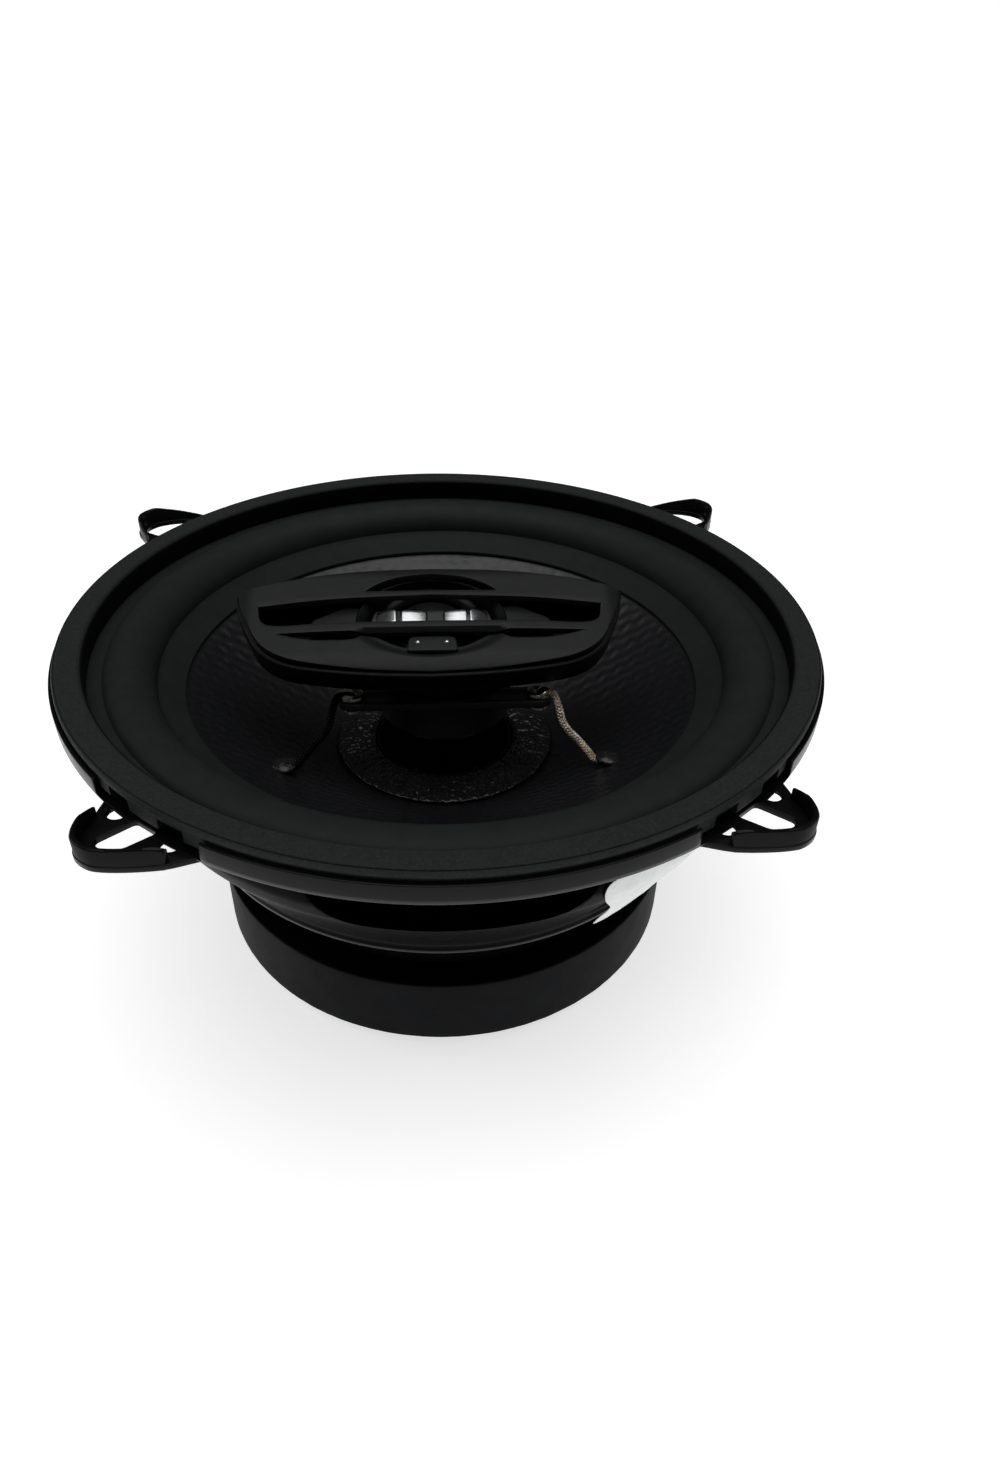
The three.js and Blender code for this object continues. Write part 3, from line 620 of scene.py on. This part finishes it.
def cone():
    line = spline_through(CONE_TOP, 6)
    radii = np.array([p[0] for p in line])[::-1]
    heights = np.array([p[1] for p in line])[::-1]
    steps = 130
    segments = 600
    verts, faces = [], []
    for side in (0, 1):
        for s in range(segments):
            turn = 2 * math.pi * s / segments
            for i in range(steps + 1):
                radius = 13.5 + (51.05 - 13.5) * i / steps
                lift = weave(radius * math.cos(turn), radius * math.sin(turn)) if side == 0 else -0.55
                z = float(np.interp(radius, radii, heights)) + lift
                verts.append((radius * math.cos(turn), radius * math.sin(turn), z))
    ring = steps + 1
    for s in range(segments):
        a, b = s * ring, ((s + 1) % segments) * ring
        shift = segments * ring
        for i in range(steps):
            faces.append((a + i, a + i + 1, b + i + 1, b + i))
            faces.append((shift + a + i, shift + b + i, shift + b + i + 1, shift + a + i + 1))
        faces.append((a, b, shift + b, shift + a))
        faces.append((a + steps, shift + a + steps, shift + b + steps, b + steps))
    dress(from_lists("cone_look", verts, faces), "cone", "cone", "cone_assembly", "woofer_cone")


def glue_ring():
    profile = soften([(13.3, 36.5), (16.2, 36.5), (20.6, 37.9), (20.7, 38.2), (18.2, 38.6), (15.6, 38.8),
                      (14.0, 38.7), (13.3, 38.2)], 0.4, 4)
    crown = 37.9

    def lumpy(r, z, turn):
        where = Vector((math.cos(turn) * r * 1.3, math.sin(turn) * r * 1.3, z * 1.3))
        if z > crown:
            z += 0.2 * noise.noise(where * 1.3) + 0.16 * abs(noise.noise(where * 2.6))
        return r + 0.2 * noise.noise(where), z

    piece = revolve("glue_look", subdivided(profile, 0.3), 480, warp=lumpy, angle=80)
    dress(piece, "glue", "glue", "cone_assembly", "neck_glue_ring")


def coil():
    former = soften([(12.7, 16.6), (13.0, 16.6), (13.0, 38.2), (12.7, 38.2)], 0.1, 2)
    dress(revolve("former_look", former, 128), "former", "former", "cone_assembly", "voice_coil_former")
    turns = [(13.62 + 0.16 * abs(math.sin(math.pi * i / 4)), 16.9 + 7.4 * i / 96) for i in range(97)]
    wound = revolve("coil_look", [(13.2, 16.8), *turns, (13.2, 24.4)], 128)
    dress(wound, "copper", "copper", "cone_assembly", "voice_coil")


def spider():
    waves = 3
    line = [(37.6 - 20.6 * t, 31.0 + 2.2 * t + 0.75 * math.sin(t * waves * 2 * math.pi))
            for t in [i / 60 for i in range(61)]]
    top = [(r, z + 0.2) for r, z in [(41.4, 31.0), *line, (15.4, 33.5), (14.2, 34.7), (13.3, 34.7)]]
    under = [(r, z - 0.2) for r, z in [(41.4, 31.0), *line, (15.0, 33.2), (13.9, 34.1), (13.3, 34.1)]]
    piece = revolve("spider_look", [*top, *under[::-1]], 256)
    dress(piece, "spider", "spider_cloth", None, "spider")
    radial_blend(piece)


def ring_parts():
    ring = [(38.4, 24.1), (41.5, 24.1), (42.0, 24.6), (42.0, 26.0), (41.4, 30.4), (38.4, 30.4), (38.0, 29.6),
            (38.0, 24.6)]
    landing = revolve("spider_ring_look", soften(ring, 0.3, 3), 160)
    dress(landing, "plastic", "dark_plastic", "frame", "spider_ring")
    plate_profile = [(14.5, 17.5), (40.0, 17.5), (40.0, 22.4), (14.5, 22.4)]
    washer = revolve("top_plate_look", soften(plate_profile, 0.4, 4), 192)
    dress(washer, "basket", "motor_steel", "frame", "top_plate")
    bottom, top = 3.0, 17.2

    def chipped(r, z, turn):
        edge = min(abs(z - bottom), abs(z - top))
        wear = 0.06 * noise.noise(Vector((math.cos(turn) * 22, math.sin(turn) * 22, z * 0.6)))
        return r + (wear if r > 40 and edge < 0.8 else 0.02 * wear), z

    block = soften([(22, bottom), (45, bottom), (45, top), (22, top)], 0.45, 5)
    magnet = revolve("magnet_look", subdivided(block, 1.2), 256, warp=chipped)
    dress(magnet, "ferrite", "ferrite", "frame", "ferrite_magnet")
    under = -DATUM
    yoke = [(2.6, under + 2.9), (5.4, under + 2.9), (5.4, under), (39.9, under), (39.9, 2.7), (13.4, 2.7),
            (12.2, 3.9), (12.2, 22.4), (2.6, 22.4)]
    dress(revolve("yoke_look", soften(yoke, 0.6, 4), 192), "steel", "motor_steel", "frame", "t_yoke")


def centre_parts():
    post = [(0.0, 44.6), (2.5, 44.2), (2.5, 22.7), (5.6, 22.7), (5.6, 40.5), (6.4, 41.5), (6.4, 46.7),
            (0.0, 46.7)]
    dress(revolve("post_look", soften(post, 0.35, 3), 96), "plastic", "dark_plastic", "frame", "tweeter_post")
    screw = [(0.0, -0.7), (4.4, -0.7), (4.9, -0.2), (4.9, 0.6), (3.9, 1.4), (2.2, 1.4)]
    threads = [(2.2 - (0.28 if i % 2 else 0.0), 3 + 0.35 * i) for i in range(115)]
    body = revolve("screw_look", [*screw, *threads, (1.7, 43.8), (0.0, 43.8)], 48)
    cut(body, [prism("slot", rectangle(*half), -1.2, 0.3) for half in ((0.55, 3.2), (3.2, 0.55))])
    dress(body, "steel", "screw_steel", "frame", "post_screw")
    drum = [(0.0, 47.0), (7.0, 47.0), (7.4, 45.4), (11.7, 45.4), (12.4, 46.1), (12.4, 53.0), (13.6, 53.5),
            (14.0, 53.9), (14.0, 54.8), (13.4, 55.3), (0.0, 55.3)]
    pieces = [revolve("drum_look", soften(drum, 0.35, 3), 128)]
    x, y = LUG
    bar = soften(rectangle(18.6, 2.3, 0, y), 2.2, 5)
    pieces.append(plate("lug_bar", [bar, circle(1.5, x, y), circle(1.5, -x, y)], 53.5, 54.9, 0.2))
    dress(join(pieces), "stem", "dark_plastic", "frame", "tweeter_drum")


# ---------------------------------------------------------------- tweeter pod
POD_HALF = [(33.6, 0.2), (33.0, -3.0), (31.3, -7.6), (28.9, -12.2), (25.2, -15.0), (20.0, -16.4),
            (10.3, -17.6), (0, -18.1)]
POD_BACK = [(33.6, 0.2), (25.0, 2.7), (12.5, 4.9), (0, 5.6)]
WINDOW_TOP = [(0, -1.1), (17.4, -2.0), (29.8, -3.7)]
WINDOW_LOW = [(0, -7.4), (16.5, -7.6), (27.9, -8.0), (29.8, -3.7)]
SLOT_TOP = [(0, -9.4), (15, -9.5), (26.6, -10.0)]
SLOT_LOW = [(0, -13.5), (5.5, -12.6), (9.6, -10.4), (11.7, -10.3), (13.8, -11.5), (20.5, -11.5),
            (26.6, -10.0)]
CRESCENT_TOP = [(0, 4.1), (5.5, 3.3), (9.4, 1.6), (11.6, -0.2)]
CRESCENT_LOW = [(0, -0.1), (11.6, -0.2)]


def edge_at(half, x):
    """Height of a mirrored edge line at x, read straight between its points."""
    pts = sorted(half)
    return float(np.interp(abs(x), [p[0] for p in pts], [p[1] for p in pts]))


def smooth_edge(half, per=10):
    line = spline_through(sorted(half), per)
    return [(max(0.0, x), y) for x, y in line]


EDGES = {name: smooth_edge(half) for name, half in (
    ("front", POD_HALF), ("back", POD_BACK), ("window_top", WINDOW_TOP), ("window_low", WINDOW_LOW),
    ("slot_top", SLOT_TOP), ("slot_low", SLOT_LOW), ("crescent_top", CRESCENT_TOP),
    ("crescent_low", CRESCENT_LOW))}


def face_rise(x, y):
    """Height of the face over its plane: a rolled front lip and a dip round the tweeter."""
    lip = -1.0 * max(0.0, (-y - 14.2) / 3.9) ** 2
    back = -0.35 * max(0.0, (y - 3.2) / 2.4) ** 2
    d = math.hypot(x / 14.8, (y - DISH_Y) / 10.2)
    dip = -0.9 * max(0.0, min(1.0, (1.0 - d) / 0.14)) ** 1.2 if y < -9.2 else 0.0
    side = -0.8 * max(0.0, (abs(x) - 30.5) / 3.1) ** 2
    return lip + back + dip + side


def pod_face():
    columns = [33.55 * math.sin(math.pi / 2 * i / 110) for i in range(-110, 111)]
    bands = [("front", "slot_low", 12), ("slot_low", "slot_top", 1), ("slot_top", "window_low", 3),
             ("window_low", "window_top", 1), ("window_top", "crescent_low", 2),
             ("crescent_low", "crescent_top", 1), ("crescent_top", "back", 7)]
    verts, open_rows, index = [], set(), 0
    for low, high, steps in bands:
        if steps == 1:
            open_rows.add(index)
        index += steps
    rows = index + 1
    for x in columns:
        column = []
        for low, high, steps in bands:
            y0, y1 = edge_at(EDGES[low], x), edge_at(EDGES[high], x)
            column += [y0 + (y1 - y0) * k / steps for k in range(steps)]
        column.append(edge_at(EDGES["back"], x))
        for k in range(1, rows):
            column[k] = max(column[k], column[k - 1])
        column = [min(y, column[-1]) for y in column]
        verts += [(x, y, face_rise(x, y)) for y in column]
    faces = []
    for c in range(len(columns) - 1):
        for k in range(rows - 1):
            if k in open_rows:
                continue
            a = c * rows + k
            faces.append((a, a + rows, a + rows + 1, a + 1))
    sheet = from_lists("pod_face_look", verts, faces, POD)
    flip = sheet.data.polygons[len(sheet.data.polygons) // 2].normal.z < 0
    if flip:
        sheet.data.flip_normals()
    weld = sheet.modifiers.new("weld", "WELD")
    weld.merge_threshold = 0.00002
    thick = sheet.modifiers.new("thick", "SOLIDIFY")
    thick.thickness = 1.25 * MM
    thick.offset = -1
    bake(sheet)
    soft_edges(sheet, 0.28, 3, 50)
    tab = [(-4.1, -14.2), (4.1, -14.2), (3.8, -11.8), (3.1, -11.4), (-3.1, -11.4), (-3.8, -11.8)]
    tab = plate("face_tab", [soften(tab, 0.4, 4)], -1.2, 0.15, 0.25, POD)
    dress(join([sheet, tab]), "face", "face_plastic", "frame", "pod_face")
    # Two bright silver pins on the tab are painted highlights, set where two glints fall on its corners.
    pin = soften([(0.0, -0.6), (0.42, -0.6), (0.42, 0.25), (0.25, 0.42), (0.0, 0.45)], 0.12, 3)
    glint_pins = [revolve(f"pin_{side}", pin, 24, on_pod(2.45 * side, -12.6, 0)) for side in (-1, 1)]
    dress(join(glint_pins), "silver", "silver_trim", "frame")


def outline_loop(grow, count=160):
    """Pod outline, grown outwards, as evenly spread points."""
    right = smooth_edge(POD_HALF, 12)[::-1]
    line = right + [(-x, y) for x, y in right[::-1] if x > 0]
    back = smooth_edge(POD_BACK, 12)
    line += [(-x, y) for x, y in back[::-1] if 0 < x < 33.5] + [(x, y) for x, y in back if x < 33.5]
    pts = np.array(line)
    grown = pts.copy()
    for i in range(len(pts)):
        tangent = pts[(i + 2) % len(pts)] - pts[i - 2]
        normal = np.array([-tangent[1], tangent[0]])
        normal /= np.linalg.norm(normal) + 1e-9
        if np.dot(normal, pts[i] - np.array([0, -6.0])) < 0:
            normal = -normal
        grown[i] = pts[i] + normal * grow
    span = np.r_[0, np.cumsum(np.linalg.norm(np.roll(grown, -1, 0) - grown, axis=1))]
    ring = np.vstack([grown, grown[:1]])
    at = np.linspace(0, span[-1], count, endpoint=False)
    return [(float(np.interp(a, span, ring[:, 0])), float(np.interp(a, span, ring[:, 1]))) for a in at]


def loft(name, loops, matrix, close_start=True, close_end=True, angle=40):
    """Skin over a stack of loops with the same number of points."""
    count = len(loops[0])
    verts = [p for loop in loops for p in loop]
    faces = []
    for level in range(len(loops) - 1):
        a, b = level * count, (level + 1) * count
        faces += [(a + i, a + (i + 1) % count, b + (i + 1) % count, b + i) for i in range(count)]
    if close_start:
        faces.append(tuple(range(count)))
    if close_end:
        faces.append(tuple(range((len(loops) - 1) * count, len(loops) * count)))
    return from_lists(name, verts, faces, matrix, angle)


def pod_housing():
    def level(grow, w):
        return [(x, y, w) for x, y in outline_loop(grow)]

    outside = [level(-4.0, -6.5), level(-1.2, -6.5), level(-0.3, -6.3), level(0.3, -5.9), level(0.62, -4.6),
               level(0.7, -2.9), level(0.6, -1.75), level(0.35, -1.55)]
    inside = [level(-0.9, -1.55), level(-1.1, -1.7), level(-1.5, -5.0), level(-1.8, -5.2)]
    pieces = [loft("hull", outside + inside, POD)]
    pieces.append(dish())
    hub = revolve("hub", soften([(0.0, 55.6), (9.5, 55.6), (9.5, 61.6), (0.0, 61.6)], 0.5, 4), 96,
                  Matrix.Translation((-1 * MM, -4 * MM, 0)))
    cut(hub, [prism("hub_trim", rectangle(30, 25, 0, -5), -6.0, 12.0, POD)])
    pieces.append(hub)
    dress(join(pieces), "plastic", "dark_plastic", "frame", "pod_housing")


def dish():
    """Oval bowl round the tweeter inside the pod."""
    loops = []
    for rx, ry, w in ((12.8, 9.5, -1.45), (12.6, 9.3, -1.5), (11.2, 9.2, -3.0), (10.4, 9.1, -4.6),
                      (10.4, 9.1, -5.1), (11.0, 9.5, -5.1), (13.2, 9.7, -1.9)):
        loops.append([(rx * math.cos(2 * math.pi * i / 96), DISH_Y + ry * math.sin(2 * math.pi * i / 96), w)
                      for i in range(96)])
    loops.append(loops[0])
    return loft("dish", loops, POD, False, False)


def on_pod(x=0.0, y=0.0, z=0.0):
    return POD @ Matrix.Translation((x * MM, y * MM, z * MM))


def tweeter():
    seat = on_pod(0, DISH_Y, 0)
    magnet = soften([(0.0, -8.1), (7.0, -8.1), (7.0, -5.4), (0.0, -5.4)], 0.4, 3)
    dress(revolve("tweeter_magnet_look", magnet, 64, seat), "steel", "motor_steel", "frame", "tweeter_magnet")
    ring = soften([(7.1, -4.9), (9.7, -4.9), (9.7, -3.6), (9.0, -3.0), (7.8, -3.1), (7.1, -3.8)], 0.3, 5)
    dress(revolve("tweeter_ring_look", ring, 128, seat), "plastic", "dark_plastic", "frame", "tweeter_ring")
    arc = [(6.5 * math.cos(a), -4.2 + 0.9 * math.sin(a)) for a in [math.pi / 2 * i / 16 for i in range(17)]]
    dome = [(0.0, -4.5), (6.6, -4.5), (6.6, -4.3), *arc[:-1], (0.0, -3.3)]
    dress(revolve("tweeter_dome_look", dome, 96, seat), "film", "dome", "tweeter_diaphragm", "tweeter_dome")


def tweeter_bridge():
    """Bar across the tweeter's mouth with four bright rounded pads: the pads are painted highlights where the
    dome reflects the lamps, and the dark chrome bar round them is painted shade.
    """
    outline = [(-9.6, -3.3), (9.6, -3.3), (10.3, -5.4), (10.3, -8.4), (-10.3, -8.4), (-10.3, -5.4)]
    bar = plate("bridge_bar", [soften(outline, 0.6, 5)], -2.7, -2.0, 0.3, POD)
    dress(bar, "bridge", "silver_trim", "frame", "tweeter_bridge")
    # Each pad is a painted highlight, tilted to catch the light.
    highlight_pads = []
    for k, (x0, x1, tilt) in enumerate(((-9.4, -6.3, -16), (-5.1, -1.1, 4), (2.4, 6.0, -4), (6.8, 9.5, 16))):
        loop = soften([(x0, -3.6), (x1, -3.6), (x1, -6.9), (x0, -6.9)], 0.7, 5)
        highlight_pad = plate(f"bridge_highlight_pad_{k}", [loop], -2.2, -1.55, 0.45)
        middle = Vector(((x0 + x1) / 2, -5.2, -1.9)) * MM
        middle.z += DATUM * MM
        pivot = Matrix.Translation(middle) @ Matrix.Rotation(math.radians(tilt), 4, "Y")
        highlight_pad.data.transform(LIFT @ POD @ LIFT.inverted() @ (pivot @ Matrix.Translation(-middle)))
        highlight_pads.append(highlight_pad)
    dress(join(highlight_pads), "silver", "silver_trim", "frame")


def horn_wings():
    outline = [(12.6, -9.6), (20.8, -9.4), (20.6, -5.2), (15.2, -2.2), (12.8, -2.3), (12.3, -4.6)]
    for name, side in (("horn_wing_left", -1), ("horn_wing_right", 1)):
        loop = soften([(side * x, y) for x, y in outline], 0.7, 5)
        piece = plate(f"{name}_look", [loop], -4.9, -2.2, 0.3, on_pod())
        dress(piece, "face", "face_plastic", "frame", name)


# ---------------------------------------------------------------- wires and terminals
def braid(name, points, radius, strands=4, pitch=2.4):
    """Woven lead: two sets of fine strands wound both ways round a route."""
    line = np.array(spline_through(points, 24))
    count = len(line)
    tangents = np.gradient(line, axis=0)
    tangents /= np.linalg.norm(tangents, axis=1)[:, None]
    lengths = np.r_[0, np.cumsum(np.linalg.norm(np.diff(line, axis=0), axis=1))]
    side = np.cross(tangents[0], [0.3, 0.2, 1.0])
    side /= np.linalg.norm(side)
    frames = []
    for t in tangents:
        side = side - t * np.dot(side, t)
        side /= np.linalg.norm(side)
        frames.append((side.copy(), np.cross(t, side)))
    verts, faces = [], []
    thin = radius * 0.42
    sides = 6
    for direction in (1, -1):
        for s in range(strands):
            base = len(verts)
            for i in range(count):
                u, v = frames[i]
                phase = direction * 2 * math.pi * lengths[i] / pitch + 2 * math.pi * s / strands
                reach = (radius - thin) * (1 + 0.12 * math.sin(4 * phase + direction))
                centre = line[i] + reach * (math.cos(phase) * u + math.sin(phase) * v)
                for k in range(sides):
                    a = 2 * math.pi * k / sides
                    verts.append(tuple(centre + thin * (math.cos(a) * u + math.sin(a) * v)))
            for i in range(count - 1):
                for k in range(sides):
                    a, b = base + i * sides + k, base + i * sides + (k + 1) % sides
                    faces.append((a, b, b + sides, a + sides))
            faces.append(tuple(base + k for k in range(sides)))
            faces.append(tuple(base + (count - 1) * sides + k for k in range(sides)))
    return from_lists(name, verts, faces, angle=60)


def blob(name, centre, size, seed, squash=0.6):
    bm = bmesh.new()
    bmesh.ops.create_icosphere(bm, subdivisions=4, radius=size * MM)
    for v in bm.verts:
        bump = noise.noise(v.co * (0.9 / (size * MM)) + Vector((seed, seed * 0.7, 0)))
        v.co *= 1 + 0.22 * bump
        v.co.z *= squash
    bm.transform(Matrix.Translation([c * MM for c in centre]))
    return as_object(name, bm, 80)


def front_leads():
    for name, side in (("left", -1), ("right", 1)):
        seat = Matrix.Translation((side * LUG[0] * MM, LUG[1] * MM, 0))
        eyelet = soften([(0.5, 52.4), (2.0, 52.4), (2.0, 53.1), (1.2, 53.2), (1.2, 55.2), (2.2, 55.2),
                         (1.9, 55.8), (0.5, 55.8)], 0.18, 3)
        pieces = [revolve(f"terminal_{name}", eyelet, 48, seat)]
        middle = (side * (LUG[0] + 0.9), LUG[1] - 0.6, 55.6)
        pieces.append(blob(f"solder_{name}", middle, 1.5, 4 + side, 0.75))
        dress(join(pieces), "tinned", "tinned", "frame", f"pod_terminal_{name}")
        route = [(17.6, -12.2, 55.9), (18.9, -13.1, 55.9), (19.7, -14.8, 54.4), (20.4, -15.7, 52.0),
                 (21.6, -16.3, 50.2), (23.3, -16.9, 48.6), (25.0, -18.3, 47.0), (26.1, -19.35, 46.2),
                 (27.2, -20.2, 46.9)]
        lead = braid(f"front_lead_look_{name}", [(side * x, y, z) for x, y, z in route], 0.68)
        # The left lead gets a near-black colour, the right one braided copper.
        finish = ("coated", "lead_coated") if name == "left" else ("braid", "braid")
        dress(lead, *finish, None, f"front_lead_{name}")
        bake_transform(lead)
        x, y = polar(CONE_EYELET[0], CONE_EYELET[1])
        spot = blob(f"eyelet_look_{name}", (side * x, y, CONE_EYELET[2]), 2.1, 9 + side, 0.42)
        dress(spot, "glue", "glue", "cone_assembly", f"cone_eyelet_{name}")


def rear_terminals():
    upright = Matrix.Translation((0, 60.4 * MM, 0)) @ Matrix.Rotation(math.pi / 2, 4, "X")
    board = soften([(-10, 41.5), (10, 41.5), (10, 57.6), (-10, 57.6)], 1.2, 4)
    holes = [circle(1.3, x, z, 24) for x, z in ((0, 55.6), (-5.5, 47), (5.5, 47))]
    piece = plate("board_look", [board, *holes], 0, 1.2, 0.15, upright)
    dress(piece, "board", "board", "frame", "terminal_board")

    def pin(name, x, y, z, reach, material, slot, node):
        profile = soften([(0.0, 0.0), (2.0, 0.0), (2.0, 0.6), (1.0, 0.6), (1.0, reach), (1.9, reach + 0.1),
                          (1.6, reach + 0.6), (0.0, reach + 0.7)], 0.15, 3)
        place = Matrix.Translation((x * MM, y * MM, z * MM)) @ Matrix.Rotation(-math.pi / 2, 4, "X")
        dress(revolve(name, profile, 40, place), material, slot, "frame", node)

    pin("board_rivet_look", 0, 56.1, 55.6, 4.6, "rivet", "rivet", "terminal_board_rivet")
    for name, x, width in (("positive", -5.5, 4.8), ("negative", 5.5, 2.8)):
        half = width / 2
        outline = soften([(x - half, 35.0), (x - half, 49.4), (x + half, 49.4), (x + half, 35.0)], 0.7, 4)
        dent = circle(0.7, x, 38.2, 20)
        blade = Matrix.Translation((0, 61.5 * MM, 0)) @ Matrix.Rotation(math.pi / 2, 4, "X")
        piece = plate(f"spade_look_{name}", [outline, circle(1.3, x, 47, 24), dent], 0, 0.8, 0.12, blade)
        dress(piece, "tinned", "tinned", "frame", f"spade_{name}")
        pin(f"spade_rivet_look_{name}", x, 57.8, 47, 4.1, "tinned", "tinned", f"spade_rivet_{name}")
        route = [(x, 57.0, 47.0), (x, 52.5, 43.8), (x * 0.9, 45.0, 41.0), (x * 0.8, 36.0, 40.0),
                 (x * 0.7, 27.6, 40.3)]
        lead = braid(f"rear_lead_look_{name}", route, 0.65)
        dress(lead, "braid", "braid", None, f"rear_lead_{name}")
        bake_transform(lead)


# ---------------------------------------------------------------- studio
def studio():
    floor = look("floor", (0.8, 0.8, 0.8), 0.8, tint=0.01, bump=0.02, bump_scale=60, rough_spread=0.02,
                 spec=0.1)
    glow = floor.node_tree.nodes["Principled BSDF"]
    glow.inputs["Emission Color"].default_value = (1, 1, 1, 1)
    glow.inputs["Emission Strength"].default_value = 0.68
    bm = bmesh.new()
    bmesh.ops.create_grid(bm, x_segments=1, y_segments=1, size=400.0)
    bm.transform(LIFT.inverted())
    ground = as_object("studio_floor", bm, 30)
    ground.data.materials.append(floor)
    world = bpy.data.worlds.new("studio_world")
    bpy.context.scene.world = world
    world.use_nodes = True
    nodes, links = world.node_tree.nodes, world.node_tree.links
    coords = nodes.new("ShaderNodeTexCoord")
    axes = nodes.new("ShaderNodeSeparateXYZ")
    ramp = nodes.new("ShaderNodeMapRange")
    ramp.inputs["From Min"].default_value = 0.0
    ramp.inputs["From Max"].default_value = 0.06
    ramp.inputs["To Min"].default_value = 0.9
    ramp.inputs["To Max"].default_value = 0.04
    links.new(coords.outputs["Generated"], axes.inputs["Vector"])
    links.new(axes.outputs["Z"], ramp.inputs["Value"])
    rays = nodes.new("ShaderNodeLightPath")
    seen = nodes.new("ShaderNodeMix")
    seen.inputs["B"].default_value = 1.0
    links.new(rays.outputs["Is Camera Ray"], seen.inputs["Factor"])
    links.new(ramp.outputs["Result"], seen.inputs["A"])
    links.new(seen.outputs["Result"], nodes["Background"].inputs["Strength"])
    nodes["Background"].inputs["Color"].default_value = (1, 1, 1, 1)
    sky = bpy.data.lights.new("overhead", "SUN")
    sky.energy = 1.5
    sky.angle = math.radians(60)
    lamps = [("overhead", sky, (0.0, 0.0, 1.6))]
    for name, place, power in (("left", (-0.9, 0.2, 0.6), 0.9), ("right", (0.9, 0.1, 0.6), 0.5)):
        lamp = bpy.data.lights.new(name, "AREA")
        lamp.shape = "SQUARE"
        lamp.size = 0.4
        lamp.energy = power
        lamps.append((name, lamp, place))
    for name, lamp, place in lamps:
        obj = bpy.data.objects.new(name, lamp)
        bpy.context.collection.objects.link(obj)
        obj.location = place
        obj.rotation_euler = (Vector((0, 0, 0.04)) - Vector(place)).to_track_quat("-Z", "Y").to_euler()
    bpy.context.scene.view_settings.view_transform = "Standard"


def camera():
    """Looks down on the front at about 37 degrees."""
    lens = bpy.data.cameras.new("camera")
    lens.sensor_width = 36
    lens.lens = 24.316
    lens.clip_start = 0.01
    obj = bpy.data.objects.new("camera", lens)
    bpy.context.collection.objects.link(obj)
    turn = Matrix.Rotation(math.radians(-1.2), 4, "Z")
    place = turn @ Vector((0, -0.15821, 0.08930))
    right = turn @ Vector((0.99843837, -0.05017834, 0.02455506))
    up = turn @ Vector((0.01031133, 0.59752881, 0.80178102))
    back = right.cross(up)
    obj.matrix_world = Matrix(((right.x, up.x, back.x, place.x), (right.y, up.y, back.y, place.y),
                               (right.z, up.z, back.z, place.z + (65 + DATUM) * MM), (0, 0, 0, 1)))
    bpy.context.scene.camera = obj


basket()
basket_rivets()
label()
gasket()
surround()
cone()
glue_ring()
coil()
spider()
ring_parts()
centre_parts()
pod_housing()
pod_face()
tweeter()
tweeter_bridge()
horn_wings()
front_leads()
rear_terminals()
studio()
camera()
